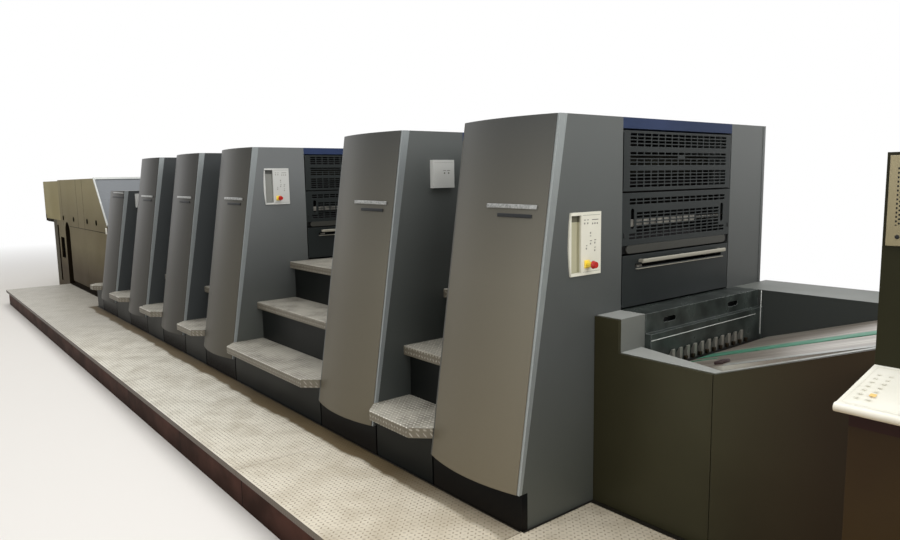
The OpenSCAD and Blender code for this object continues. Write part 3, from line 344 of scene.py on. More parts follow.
def curved_bar(unit, left, right_end, z, tall, proud):
    """A bar with rounded edges, spun round the axis of a cover's bow, which follows the cover's lean."""
    foot_y, foot_z = COVER_FOOT
    home = Matrix.Translation(at(unit, foot_y, foot_z)) @ Matrix.Rotation(-COVER_LEAN, 4, "X")
    centre = Vector((-COVER_HALF_WIDTH, COVER_RADIUS - COVER_BOW, 0)) / 1000
    first = math.asin((left + COVER_HALF_WIDTH) / COVER_RADIUS)
    last = math.asin((right_end + COVER_HALF_WIDTH) / COVER_RADIUS)
    start = centre + Vector((math.sin(first), -math.cos(first), 0)) * (COVER_RADIUS + proud / 2) / 1000
    bpy.ops.object.select_all(action="DESELECT")
    bpy.ops.mesh.primitive_plane_add(size=1, location=(0, 0, 0))
    bar = bpy.context.object
    bar.matrix_world = (home @ Matrix.Translation(start + Vector((0, 0, z / 1000)))
                        @ Matrix.Rotation(first, 4, "Z") @ Matrix.Rotation(math.pi / 2, 4, "Y")
                        @ Matrix.Diagonal((tall / 1000, proud / 1000, 1, 1)))
    bpy.ops.object.transform_apply(location=True, rotation=True, scale=True)
    bpy.ops.object.mode_set(mode="EDIT")
    bpy.ops.mesh.select_all(action="SELECT")
    bpy.ops.mesh.bevel(offset=proud / 3000, segments=3, affect="VERTICES")
    bpy.ops.mesh.select_all(action="SELECT")
    bpy.ops.mesh.spin(steps=16, angle=first - last, center=home @ centre,
                      axis=home.to_3x3() @ Vector((0, 0, 1)))
    bpy.ops.mesh.select_all(action="SELECT")
    bpy.ops.mesh.remove_doubles(threshold=0.00002)
    bpy.ops.mesh.normals_make_consistent(inside=False)
    bpy.ops.object.mode_set(mode="OBJECT")
    return bar


satin_chrome, tree, shader, _, haze = mottled("satin_chrome_plated_zinc", 120, {0.3: "6f706e", 0.7: "a2a3a0"},
                                              detail=3, Metallic=0.8)
gloss = add(tree, "MapRange", {"Value": (haze, "Fac"), "To Min": 0.3, "To Max": 0.5})
plug(shader, {"Roughness": (gloss, "Result")})
dark_trim = sprayed_steel("dark_anodised_trim", "1d1f21", "17191b", 0.5, edge="5c6064")
for name, finish, slot, tall_unit_bar, short_unit_bar in (
        # left end, right end, height, how tall, how proud
        ("chrome_trim_bars", satin_chrome, "edge_aluminium", (-296, -50, 1078, 17, 6), (-245, -12, 1106, 12, 6)),
        ("dark_trim_bars", dark_trim, "plinth_black", (-232, -70, 1043, 14, 5), (-262, -12, 1062, 14, 5))):
    bars = [curved_bar(face, *tall_unit_bar) for face in UNIT_FACES] + [curved_bar(SHORT_FACE, *short_unit_bar)]
    settle(weld(bars, name), finish)


# Edge strips of the covers. Extruded aluminium, brushed lengthwise and clear anodised, so it shines in a
# soft streak. They are screwed to the towers' front corners; those towards the delivery are lacquered.
BRUSH_MM = 1.0
strip_metal, tree, shader, place, lines = mottled("brushed_anodised_aluminium", 1000 / BRUSH_MM,
                                                  {0.3: "878c8c", 0.7: "9ca1a0"}, stretch=(1.0, 1.0, 0.02),
                                                  Metallic=0.55, Roughness=0.42)
roughen(shader, (lines, "Fac"), 0.1, 0.0002, round_mm=1.5)
apart = add(tree, "SeparateXYZ", {0: (place, "Object")})
for face in UNIT_FACES + [SHORT_FACE]:
    mix_in(strip_metal, "4d4c47", region(tree, apart, x=(face - 560, face - 480)))
# painted shade: the strips darken beyond unit 1, towards the delivery
shade_to(strip_metal, "7d8387", "x", -500, -1000, 0.3)
dress(strip_metal, "edge_strips")


# Plinths under the front covers. Steel plate in black gloss enamel, bolted to the frame's foot.
# It mirrors the gallery, and is dull and scuffed near the floor.
enamel, tree, shader, place = new_material("black_gloss_enamel")
apart = add(tree, "SeparateXYZ", {0: (place, "Object")})
foot = add(tree, "MapRange", {"Value": (apart, "Z"), "From Min": 0.30, "From Max": 0.19})
scuffs = add(tree, "TexNoise", {"Vector": (place, "Object"), "Scale": 60.0, "Detail": 6})
dust = add(tree, "Math", {0: (foot, "Result"), 1: (scuffs, "Fac")}, operation="MULTIPLY")
colour = add(tree, "Mix", {0: (dust, 0), 6: linear("07080a"), 7: linear("221e18")}, data_type="RGBA")
gloss = add(tree, "MapRange", {"Value": (dust, 0), "To Min": 0.3, "To Max": 0.8})
plug(shader, {"Base Color": (colour, 2), "Roughness": (gloss, "Result"), "Specular IOR Level": 0.06})
dress(enamel, "plinths")


# Frames inside the units. Cast iron and plate in a dark machine enamel, with an oily film.
# Between the towers only the backs and the ends of the units show.
frame_enamel = sprayed_steel("dark_machine_enamel", "303436", "282b2d", 0.34, peel_mm=6, peel=0.15)
# painted shade: the frame behind the guards is painted near black and dull
repaint(frame_enamel, "0c0c0d", [{"x": (face - 530, face - 5), "y": (575, 1408), "z": (780, 1500)}
                                 for face in UNIT_FACES], dull=True)
dress(frame_enamel, "unit_bases", "unit_backs", "short_unit_body", "gear_side_base")


# Visors over the guards. Folded sheet steel, screwed between the towers, in a satin navy blue lacquer:
# the one coloured part of a unit, with paler worn edges.
visor_lacquer = sprayed_steel("navy_blue_lacquer", "2d3958", "27324c", 0.45, edge="6c7898", shine=0.1)
dress(visor_lacquer, "visors")


# Guards. Folded sheet steel, punched, in a dull charcoal structure paint; the upper and lower ones swing.
# The lower one's handle is a bare drawn steel bar, and so is the lip under its finger slot.
def guard_coat(name):
    """The guards' structure paint, finer and coarser to the touch than that of the side panels."""
    return sprayed_steel(name, "262a2a", "1f2323", 0.4, peel_mm=1.8, peel=0.2, edge="646a6b", shine=0.2)


guard_paint = guard_coat("charcoal_structure_paint")
bare = repaint(guard_paint, "a09c8f", [{"x": (face + 1.5, face + 43), "z": (926, 984)} for face in UNIT_FACES])
tree = guard_paint.node_tree
drawn = add(tree, "Math", {0: (bare, 0), 1: 0.35}, operation="MULTIPLY")
plug(tree.nodes["Principled BSDF"], {"Metallic": (drawn, 0)})
for number in range(1, 6):
    dress(guard_paint, "upper_guard_%d" % number, "lower_guard_%d" % number)
middle_paint = guard_coat("charcoal_paint_with_brown_rail")
rail = (999, 1034.5)
repaint(middle_paint, "3a3a36", [{"z": rail}])
repaint(middle_paint, "0b0c0c", [{"x": (face - 30, face - 6), "z": rail} for face in UNIT_FACES])
# painted shade: a band of each middle grille beside its tower's face is painted near black and dull
repaint(middle_paint, "08090a", [{"x": (face - 90, face - 3.2), "z": (1035.5, 1262)} for face in UNIT_FACES],
        dull=True)
dress(middle_paint, "middle_guards")


# Clips behind the middle grilles. A row of moulded nylon clips, grey and matt, on a flat bar inside the
# grille's tray. They show through the slots.
def box_piece(name, low, high, soften_mm, segments=2):
    """A box between two corners in press millimetres, with its edges rounded."""
    a, b = at(*low), at(*high)
    bpy.ops.object.select_all(action="DESELECT")
    bpy.ops.mesh.primitive_cube_add(size=1, location=(a + b) / 2, scale=b - a)
    piece = bpy.context.object
    piece.name = name
    bpy.ops.object.transform_apply(location=True, rotation=True, scale=True)
    bpy.ops.object.mode_set(mode="EDIT")
    bpy.ops.mesh.select_all(action="SELECT")
    bpy.ops.mesh.bevel(offset=soften_mm / 1000, segments=segments, affect="EDGES")
    bpy.ops.object.mode_set(mode="OBJECT")
    return piece


def copies(piece, offsets):
    """The piece, and a copy with its own mesh at each offset in press millimetres."""
    made = [piece]
    for offset in offsets:
        twin = piece.copy()
        twin.data = piece.data.copy()
        twin.data.transform(Matrix.Translation(Vector(offset) / 1000))
        bpy.context.scene.collection.objects.link(twin)
        made.append(twin)
    return made


grey_plastic = sprayed_steel("moulded_light_grey_nylon", "85827a", "5f5d58", 0.5, edge="a8a6a0", worn=0.3,
                             cloud_mm=40)
for number, face in enumerate(UNIT_FACES, 1):
    clips = copies(box_piece("clip", (face - 20, 632, 1110), (face - 5, 674, 1141), 2.5),
                   [(0, step * 49, 0) for step in range(1, 10)])
    clips.append(box_piece("clip", (face - 20, 598, 1104), (face - 3, 612, 1132), 4))
    clips.append(box_piece("clip", (face - 24, 584, 1122), (face - 19, 1399, 1134), 1))
    settle(weld(clips, "clip_row_%d" % number), grey_plastic)


# Latches of the middle grilles. Two short sliding catches of blackened steel in the lower corners of each
# grille, pressed through the sheet, and a nylon finger switch at the left end of the handle's slot.
catch_black = sprayed_steel("black_oxide_catch_steel", "141516", "0f1011", 0.4, edge="3c3f41")
for number, face in enumerate(UNIT_FACES, 1):
    catches = copies(box_piece("catch", (face - 1, 589, 1066), (face + 2.5, 596, 1088), 1.2), [(0, 798, 4)])
    settle(weld(catches, "grille_catches_%d" % number), catch_black)
    switch = box_piece("finger_switch_%d" % number, (face - 14, 690, 938), (face - 2.2, 722, 949), 2.5)
    settle(switch, grey_plastic, body="lower_guard_%d" % number)


# Printing cylinders. Ground steel that turns in the frame's bearings, dark with a film of oil.
# The grinding marks run round them and streak what they mirror.
GRINDING_MM = 3.0
cylinder_metal, _, shader, _, marks = mottled("ground_cylinder_steel", 1000 / GRINDING_MM,
                                              {0.3: "1b191a", 0.7: "2b2829"}, detail=3,
                                              stretch=(0.02, 1.0, 0.02), Metallic=1.0, Roughness=0.28)
roughen(shader, (marks, "Fac"), 0.15, 0.0003)
dress(cylinder_metal, "cylinders", "ink_fountains")


# Ink rollers. Rubber form rollers and copper-clad drums in turn, all dull with a film of ink and painted near
# black, partly as painted shade inside the units.
# The heights of the rollers tell which is which.
roller_rubber, tree, shader, place = new_material("inked_rubber_and_copper")
apart = add(tree, "SeparateXYZ", {0: (place, "Object")})
height = add(tree, "MapRange", {"Value": (apart, "Z"), "From Min": at(0, 0, 1110).z,
                                "From Max": at(0, 0, 1430).z})
kinds = add(tree, "ValToRGB", {"Fac": (height, "Result")},
            stops={0.0: "070607", 0.23: "0b0706", 0.49: "0c0708", 0.63: "14120c", 0.76: "22211b"})
kinds.color_ramp.interpolation = "CONSTANT"
film = add(tree, "TexNoise", {"Vector": (place, "Object"), "Scale": 9.0, "Detail": 4})
inked = add(tree, "MapRange", {"Value": (film, "Fac"), "From Min": 0.4, "From Max": 0.7, "To Max": 0.6})
colour = add(tree, "Mix", {0: (inked, "Result"), 6: (kinds, "Color"), 7: linear("050506")}, data_type="RGBA")
plug(shader, {"Base Color": (colour, 2), "Roughness": 0.5, "Specular IOR Level": 0.06})
dress(roller_rubber, "ink_rollers")


# Step bodies between the units. Folded sheet steel in a near-black satin paint, bolted to the bases.
# Their edges are scuffed by shoes.
step_paint = sprayed_steel("near_black_satin_paint", "161817", "111312", 0.38, edge="3f4244", worn=0.25,
                           shine=0.1)
dress(step_paint, "step_bodies")


# Treads, footboards and gallery plates. Aluminium chequer plate with raised ovals that cross, folded down over the
# nose and screwed on. The treads' ovals are worn bright, with dirt round them and along the press. The gallery
# plates' ovals are painted dark, as painted shade and dirt round the raised ovals, and the upright faces of the
# noses are painted darker as painted shade.
OVAL_LENGTH, OVAL_WIDTH = 0.5, 0.26  # as shares of the pitch
WORN_PATCH_MM = 28


def chequer_plate(name, oval, ground, dirt, nose, pitch_mm, soiled):
    """Chequer plate whose ovals follow the sheet over its folded nose, so y and z count as one length.
    The upright faces of the nose are darker in a colour of their own, as painted shade, and the ovals are worn
    away here and there."""
    made, tree, shader, place = new_material(name)
    apart = add(tree, "SeparateXYZ", {0: (place, "Object")})
    length = add(tree, "Math", {0: (apart, "Y"), 1: (apart, "Z")}, operation="ADD")
    cells, locals_ = [], []
    for way in ((apart, "X"), (length, 0)):
        steps = add(tree, "Math", {0: way, 1: 1000 / pitch_mm}, operation="MULTIPLY")
        cells.append(add(tree, "Math", {0: (steps, 0)}, operation="FLOOR"))
        part = add(tree, "Math", {0: (steps, 0)}, operation="FRACT")
        locals_.append(add(tree, "Math", {0: (part, 0), 1: 0.5}, operation="SUBTRACT"))
    count = add(tree, "Math", {0: (cells[0], 0), 1: (cells[1], 0)}, operation="ADD")
    odd = add(tree, "Math", {0: (count, 0), 1: 2.0}, operation="FLOORED_MODULO")
    side = add(tree, "Math", {0: (odd, 0), 1: 2.0, 2: -1.0}, operation="MULTIPLY_ADD")
    turned = add(tree, "Math", {0: (locals_[1], 0), 1: (side, 0)}, operation="MULTIPLY")
    point = add(tree, "CombineXYZ")
    for k, (operation, size) in enumerate((("ADD", OVAL_LENGTH), ("SUBTRACT", OVAL_WIDTH))):
        way = add(tree, "Math", {0: (locals_[0], 0), 1: (turned, 0)}, operation=operation)
        plug(point, {k: (add(tree, "Math", {0: (way, 0), 1: size}, operation="DIVIDE"), 0)})
    reach = add(tree, "VectorMath", {0: (point, 0)}, operation="LENGTH")
    stud = add(tree, "MapRange", {"Value": (reach, "Value"), "From Min": 1.15, "From Max": 0.7})
    grime = add(tree, "TexNoise", {"Vector": (place, "Object"), "Scale": 7.0, "Detail": 8})
    soil = add(tree, "MapRange", {"Value": (grime, "Fac"), "From Min": 0.42, "From Max": 0.72, "To Max": soiled})
    base = add(tree, "Mix", {0: (soil, "Result"), 6: linear(ground), 7: linear(dirt)}, data_type="RGBA")
    facing = add(tree, "SeparateXYZ", {0: (add(tree, "NewGeometry"), "Normal")})
    # painted shade: the upright faces are mixed towards the darker nose colour
    upright = add(tree, "MapRange", {"Value": (facing, "Z"), "From Min": 0.6, "From Max": 0.3, "To Max": 0.9})
    base = add(tree, "Mix", {0: (upright, "Result"), 6: (base, 2), 7: linear(nose)}, data_type="RGBA")
    patch = add(tree, "TexNoise", {"Vector": (place, "Object"), "Scale": 1000 / WORN_PATCH_MM, "Detail": 3})
    kept = add(tree, "MapRange", {"Value": (patch, "Fac"), "From Min": 0.34, "From Max": 0.55, "To Min": 0.35})
    soft = add(tree, "MapRange", {"Value": (upright, "Result"), "To Min": 1.0, "To Max": 0.22})
    shown = add(tree, "Math", {0: (stud, "Result"), 1: (kept, "Result")}, operation="MULTIPLY")
    shown = add(tree, "Math", {0: (shown, 0), 1: (soft, "Result")}, operation="MULTIPLY")
    colour = add(tree, "Mix", {0: (shown, 0), 6: (base, 2), 7: linear(oval)}, data_type="RGBA")
    roughen(shader, (stud, "Result"), 0.5, 0.0015)
    plug(shader, {"Base Color": (colour, 2), "Roughness": 0.5, "Metallic": 0.2})
    return made


tread_plate = chequer_plate("aluminium_chequer_plate", "d9d5ca", "a8a498", "3f382c", "5c5547", 22, 0.7)
# painted shade: the treads darken beyond unit 2
shade_to(tread_plate, "5f5c55", "x", -1200, -1500, 0.2)
dress(tread_plate, "treads", "footboards")
# the gallery's ovals are painted dark, as painted shade and dirt round the raised ovals
gallery_plate = chequer_plate("trodden_chequer_plate", "5d5547", "d2cec1", "988f7b", "6b5f50", 20, 0.55)
# painted light and shade: the gallery darkens towards the delivery end, turns lighter and warmer towards unit 1
# and the feeder, and its upright faces are darker
shade_to(gallery_plate, "96928a", "x", -4300, -5600, 0.6)
shade_to(gallery_plate, "e0ceb0", "x", -2400, 700, 0.5)
shade_faces(gallery_plate, "3a2e22", facing_up=False, most=0.85)
# a band along the foot of the press, partly dirt where shoes don't reach and partly painted shadow, and stains
# beside unit 1
tree = gallery_plate.node_tree
place = add(tree, "TexCoord")
apart = add(tree, "SeparateXYZ", {0: (place, "Object")})
swept = add(tree, "TexNoise", {"Vector": (place, "Object"), "Scale": 3.5, "Detail": 6})
edge_y = add(tree, "Math", {0: (swept, "Fac"), 1: 0.11, 2: (apart, "Y")}, operation="MULTIPLY_ADD")
band = add(tree, "MapRange", {"Value": (edge_y, 0), "From Min": at(0, -62, 0).y, "From Max": at(0, -40, 0).y,
                              "To Max": 0.96})
thin = add(tree, "MapRange", {"Value": (apart, "X"), "From Min": at(-800, 0, 0).x, "From Max": at(0, 0, 0).x,
                              "To Min": 1.0, "To Max": 0.45})
mix_in(gallery_plate, "57472a", band, thin, region(tree, apart, x=(-6600, 8)))
stains = add(tree, "MapRange", {"Value": (swept, "Fac"), "From Min": 0.52, "From Max": 0.75, "To Max": 0.45})
beside = add(tree, "MapRange", {"Value": (apart, "X"), "From Min": at(-700, 0, 0).x,
                                "From Max": at(-200, 0, 0).x})
mix_in(gallery_plate, "6f6248", stains, beside)
# painted shadow: dark lines on the plate at the feet of unit 1's tower side, the cladding and the plinths
painted_contact_shadows = [{"x": (-1, 17), "y": (-6, 411)}, {"x": (-1, 1030), "y": (378, 411)},
              {"x": (-6600, 0), "y": (-14, 1)}]
repaint(gallery_plate, "17130c", painted_contact_shadows)
dress(gallery_plate, "gallery_plates")


# Fascia and bearers of the gallery. Sheet steel in a matt red-brown paint that is scuffed by boots,
# screwed to bearers of galvanised steel, whose zinc has grown in pale flowers.
fascia_paint = sprayed_steel("red_brown_gallery_paint", "452a21", "2c1a12", 0.55, edge="4f3a30", worn=0.2,
                             cloud_mm=260, shine=0.03)
# painted shade: the fascia darkens towards the floor
shade_to(fascia_paint, "1d100b", "z", -90, -185, 0.7)
repaint(fascia_paint, "40332a", [{"z": (-54, -28)}])
repaint(fascia_paint, "0d0705", [{"x": near(joint, 4), "z": (-200, -29)}
                                 for joint in (-4220, -3180, -2140, -1270, -570)])
dress(fascia_paint, "gallery_fascia")
FLOWER_MM = 14
galvanised, tree, shader, place = new_material("galvanised_bearer_steel")
spangle = add(tree, "TexVoronoi", {"Vector": (place, "Object"), "Scale": 1000 / FLOWER_MM})
tint = add(tree, "ValToRGB", {"Fac": (spangle, "Color")}, stops={0.2: "66696b", 0.8: "8a8d8f"})
plug(shader, {"Base Color": (tint, "Color"), "Metallic": 0.7, "Roughness": 0.48})
dress(galvanised, "gallery_bearers")


# Feed well. Sheet steel panels in olive-black paint under a rim in a grey satin lacquer, screwed to the frame.
# The cross plate is enamelled darker, and worn pale at its edges and hand slots.
cabinet_paint = sprayed_steel("olive_black_gloss_paint", "292819", "232215", 0.34, edge="4d4c42", worn=0.3,
                              shine=0.08)
dress(cabinet_paint, "feeder_cabinet", "feeder_drive_side")
cladding_paint = sprayed_steel("olive_black_satin_paint", "363424", "2d2b1d", 0.34, edge="55544a", worn=0.3,
                               shine=0.12)
shade_to(cladding_paint, "2a1c0f", "x", 480, 900, 0.75)
dress(cladding_paint, "well_cladding")
rim_lacquer = sprayed_steel("mid_grey_rim_lacquer", "6e706c", "656763", 0.36, edge="b5b8b8", worn=0.4)
# painted light: the rim's level faces are lighter
shade_faces(rim_lacquer, "a8aaa6", facing_up=True, most=0.8)
dress(rim_lacquer, "well_walls")
slate_lacquer = sprayed_steel("slate_grey_rim_lacquer", "757874", "6c6f6b", 0.5, edge="a9adaf", worn=0.3,
                              shine=0.08)
# painted shade: the upright faces of the drive-side rim are darker
shade_faces(slate_lacquer, "3b3e3c", facing_up=False)
dress(slate_lacquer, "well_drive_side")
cross_paint = sprayed_steel("dark_green_grey_enamel", "3b413e", "272b29", 0.3, edge="a3aaa7", worn=0.7,
                            cloud_mm=90)
# painted shade: the two hand slots are painted near black
repaint(cross_paint, "070808", [{"x": (100, 122.5), "y": near(slot_y, 46), "z": (715, 745)}
                                for slot_y in (743, 1240)])
dress(cross_paint, "cross_plate")


# Front lays and feed board. Ground steel fingers on a bar, and a stainless board that slopes to them,
# with paler streaks where sheets and tapes have polished it.
lay_metal = sprayed_steel("ground_lay_steel", "b1afa7", "98968e", 0.35, metallic=0.6, edge="d5d3cc")
dress(lay_metal, "front_lays")
board_metal = mottled("polished_board_steel", 28, {0.3: "70685f", 0.5: "877e74", 0.7: "b0ada3"}, detail=5,
                      stretch=(0.08, 1.0, 0.08), Metallic=0.3, Roughness=0.38)[0]
dress(board_metal, "feed_board")


# Belts and small parts of the feed well. A wide green suction belt and a narrow tape carry the sheets, both
# woven and coated with matt polyurethane. An enamelled side lay is screwed to the board, and oily bronze
# clips stand on a steel bar between the front lays.
BOARD_SLOPE = math.radians(17.7)
BOARD_FOOT = (176, 546)
WEAVE_MM = 1.5


def tip(piece, angle, axis, start):
    """Turns a piece that was made at the press's zero point, and moves it to its start."""
    piece.data.transform(Matrix.Translation(start) @ Matrix.Rotation(angle, 4, axis)
                         @ Matrix.Translation(-at(0, 0, 0)))
    return piece


def on_board(name, x0, x1, y0, y1, thick, soften_mm):
    """A flat piece that lies on the sloping feed board."""
    foot_x, foot_z = BOARD_FOOT
    run = (x1 - x0) / math.cos(BOARD_SLOPE)
    piece = box_piece(name, (0, y0, 0), (run, y1, thick), soften_mm)
    return tip(piece, -BOARD_SLOPE, "Y", at(x0, 0, foot_z + (x0 - foot_x) * math.tan(BOARD_SLOPE)))


green_belt, tree, shader, place, _ = mottled("green_polyurethane_belt", 14, {0.35: "2c6f55", 0.65: "4f8d75"},
                                             detail=5, Roughness=0.6)
weave = add(tree, "TexNoise", {"Vector": (place, "Object"), "Scale": 1000 / WEAVE_MM, "Detail": 1})
roughen(shader, (weave, "Fac"), 0.2, 0.0003)
settle(on_board("suction_belt", 190, 1330, 848, 972, 2.5, 0.8), green_belt)
settle(on_board("feed_tape", 186, 330, 756, 776, 1.5, 0.5), green_belt)
bronze = sprayed_steel("oily_bronze_clip", "3a2f20", "221c14", 0.4, metallic=0.6, edge="8c7a50")
settle(box_piece("lay_foot_bar", (168.5, 600, 546), (178, 1380, 556), 2), catch_black)
clips = copies(box_piece("clip", (169, 726, 556), (182, 742, 574), 2), [(0, 54 * step, 0) for step in range(11)])
settle(weld(clips, "lay_clips"), bronze)
lay_brown = sprayed_steel("brown_side_lay_enamel", "3a2c2c", "2a2020", 0.4, edge="6a5a58")
settle(on_board("side_lay_block", 450, 484, 536, 590, 12, 3), lay_brown)
settle(on_board("board_edge_strip", 512, 1330, 473, 522, 1.5, 0.6), rim_lacquer)
seam_bright = sprayed_steel("polished_seam_strip", "eceeea", "dfe1dd", 0.3, metallic=0.3, edge="f2f3f0")
settle(box_piece("ledge_seam_strip", (149.5, 580, 662), (151.5, 1402, 665), 0.5), seam_bright)
settle(box_piece("corner_strip", (150, 1447, 560), (153, 1450, 770), 0.8), seam_bright)


# Feeder. A suction head of cast aluminium with a coarse enamel, and a panel of beige painted sheet steel.
# A punched cover sheet is screwed on its front, with two bosses and two locks. Each hole is a dark round spot
# painted in the sheet's paint, as painted shade where the opening would show the dark inside.
HOLE_STEP_X, HOLE_STEP_Z = 8.0, 12.0
PANEL_FRONT = 399.4
head_metal = sprayed_steel("cast_aluminium_enamel", "5b5f61", "505355", 0.4, peel_mm=5)
dress(head_metal, "feeder_head")
panel_paint = sprayed_steel("beige_panel_paint", "968c6f", "8a8165", 0.42, edge="c4bca6")
dress(panel_paint, "perforated_panel")
punched_paint = panel_paint.copy()
punched_paint.name = "beige_punched_sheet"
tree = punched_paint.node_tree
apart = add(tree, "SeparateXYZ", {0: (add(tree, "TexCoord"), "Object")})
column = add(tree, "Math", {0: (apart, "X"), 1: 1000 / HOLE_STEP_X}, operation="MULTIPLY")
count = add(tree, "Math", {0: (column, 0)}, operation="FLOOR")
odd = add(tree, "Math", {0: (count, 0), 1: 2.0}, operation="FLOORED_MODULO")
shift = add(tree, "Math", {0: (odd, 0), 1: 0.5}, operation="MULTIPLY")
row = add(tree, "Math", {0: (apart, "Z"), 1: 1000 / HOLE_STEP_Z, 2: (shift, 0)}, operation="MULTIPLY_ADD")
point = add(tree, "CombineXYZ")
for k, way in enumerate((column, row)):
    plug(point, {k: (add(tree, "Math", {0: (way, 0)}, operation="FRACT"), 0)})
point = add(tree, "VectorMath", {0: (point, 0), 1: (0.5, 0.5, 0.0)}, operation="SUBTRACT")
point = add(tree, "VectorMath", {0: (point, 0), 1: (HOLE_STEP_X, HOLE_STEP_Z, 0.0)}, operation="MULTIPLY")
reach = add(tree, "VectorMath", {0: (point, 0)}, operation="LENGTH")
# painted shade: each hole is a dark round spot painted on the sheet
hole = add(tree, "MapRange", {"Value": (reach, "Value"), "From Min": 3.6, "From Max": 2.6})
field = region(tree, apart, x=(1052, 1474), y=(390, 404), z=(1172, 1332))
mix_in(punched_paint, "17150f", hole, field)
# painted shade: the back half of the punched sheet's edges is painted darker
repaint(punched_paint, "6a6550", [{"y": (400.6, 404)}])
punched_sheet = box_piece("punched_cover_sheet", (1031, PANEL_FRONT, 1116), (1500, 402.4, 1364), 1.2)
settle(punched_sheet, punched_paint)


def round_piece(name, centre, radius_mm, deep_mm, sides, toward=-1):
    """A short cylinder toward the aisle (-1) or the drive side (1), in edit mode with that face picked."""
    bpy.ops.object.select_all(action="DESELECT")
    bpy.ops.mesh.primitive_cylinder_add(vertices=sides, radius=radius_mm / 1000, depth=deep_mm / 1000,
                                        location=centre, rotation=(-toward * math.pi / 2, 0, 0))
    piece = bpy.context.object
    piece.name = name
    bpy.ops.object.transform_apply(location=True, rotation=True, scale=True)
    for polygon in piece.data.polygons:
        polygon.select = polygon.normal.y * toward > 0.9
    bpy.ops.object.mode_set(mode="EDIT")
    return piece


def round_boss(name, x, z, radius_mm, proud_mm, sides=20):
    """A low round boss on the panel's front, with a rounded rim and a dished face."""
    piece = round_piece(name, at(x, PANEL_FRONT + 0.2 - proud_mm / 2, z), radius_mm, proud_mm, sides)
    bpy.ops.mesh.bevel(offset=proud_mm / 3000, segments=2, affect="EDGES")
    bpy.ops.object.mode_set(mode="OBJECT")
    for polygon in piece.data.polygons:
        polygon.select = polygon.normal.y < -0.99
    bpy.ops.object.mode_set(mode="EDIT")
    bpy.ops.mesh.inset(thickness=radius_mm / 2500, depth=-proud_mm / 3000)
    bpy.ops.object.mode_set(mode="OBJECT")
    return piece


bosses = [round_boss("boss", x, 1217, 15, 5) for x in (1092, 1432)]
settle(weld(bosses, "panel_bosses"), panel_paint)
locks = [round_boss("lock", x, 1141, 7, 3, 12) for x in (1060, 1470)]
locks += [box_piece("lock", (x, 397.6, 1137), (x + 26, 399.6, 1145), 0.9) for x in (1070, 1434)]
settle(weld(locks, "panel_locks"), catch_black)


# Control desk. A body of sheet steel in a dark brown gloss lacquer, under a desk top that is moulded in cream ABS
# with a fine grain. The top's rolled edge is painted darker below, as painted shade.
GRAIN_MM = 1.5


def moulded_abs(name, shade, face):
    """Moulded plastic with softly changing colour, a fine grain and rounded edges."""
    made, tree, shader, place, _ = mottled(name, 6, {0.35: shade, 0.65: face}, detail=3, Roughness=0.45)
    grain = add(tree, "TexNoise", {"Vector": (place, "Object"), "Scale": 1000 / GRAIN_MM, "Detail": 2})
    roughen(shader, (grain, "Fac"), 0.12, 0.0004, round_mm=2)
    return made


console_paint = sprayed_steel("dark_brown_gloss_lacquer", "33250f", "2a1d0c", 0.3, edge="5f4a3e", worn=0.3,
                              shine=0.12)
repaint(console_paint, "24100b", [{"z": (655, 760)}])
dress(console_paint, "console_body")
moulded_cream = moulded_abs("moulded_cream_abs", "dedccf", "e9e7dc")
# painted shade: the desk top's rolled front edge darkens towards its foot
shade_to(moulded_cream, "8f7850", "z", 716, 693, 0.75)
dress(moulded_cream, "console_top")


# Keys of the desk. Two columns of flat membrane keys and an amber one near the feeder's end, inside a thin
# printed line. Each key is a thin pad of satin polyester film that lies on the sloping top.
DESK_FOOT = (142, 717)
DESK_HEAD = (410, 772)
DESK_TILT = math.atan((DESK_HEAD[1] - DESK_FOOT[1]) / (DESK_HEAD[0] - DESK_FOOT[0]))
AMBER_KEY_SPOT = (1080, 221)
key_grey = sprayed_steel("pale_grey_membrane_key", "dddacd", "d5d2c4", 0.5, edge="e2dfd3", worn=0.2, edge_mm=0.2)
amber = mottled("amber_membrane_key", 400, {0.3: "e6bd69", 0.7: "edcb85"}, Roughness=0.45)[0]


def on_desk(name, x0, x1, y0, y1, thick):
    """A low pad that lies on the sloping desk top."""
    foot_y, foot_z = DESK_FOOT
    piece = box_piece(name, (x0, 0, 0), (x1, (y1 - y0) / math.cos(DESK_TILT), thick), thick * 0.4)
    return tip(piece, DESK_TILT, "X", at(0, y0, foot_z + (y0 - foot_y) * math.tan(DESK_TILT)))


pads = [on_desk("key", x, x + 10, y, y + 9, 0.4) for x in (1050, 1080) for y in range(196, 350, 25)
        if (x, y) != AMBER_KEY_SPOT]
settle(weld(pads, "desk_keys"), key_grey, smooth=0)
settle(on_desk("amber_key", 1077, 1093, 219, 235, 0.5), amber, smooth=0)
lines = [on_desk("line", 1034, 1626, y, y + 1.4, 0.3) for y in (160, 396)]
lines += [on_desk("line", x, x + 1.4, 161.4, 396, 0.3) for x in (1034, 1624)]
settle(weld(lines, "desk_border_line"), key_grey, smooth=0)


# Delivery. A housing of folded sheet steel in a dull beige grey paint, bolted to its frame, a paler end hood
# over the pile, and a sloping cover with a pale pane in a white enamelled frame.
PLUG_XS = (-8895, -8256, -7504, -7048)
RECESS_DEPTH = (150.8, 215)
delivery_paint = sprayed_steel("beige_grey_housing_paint", "6c634a", "645b42", 0.55, edge="8a836b", worn=0.3,
                               shine=0.06)
# painted light and reflection: the housing is painted darker and browner towards the foot, as a painted
# reflection, and lighter towards the top, as painted light
shade_to(delivery_paint, "32240f", "z", 560, 200, 0.85)
shade_to(delivery_paint, "867d5c", "z", 850, 1300, 0.9)
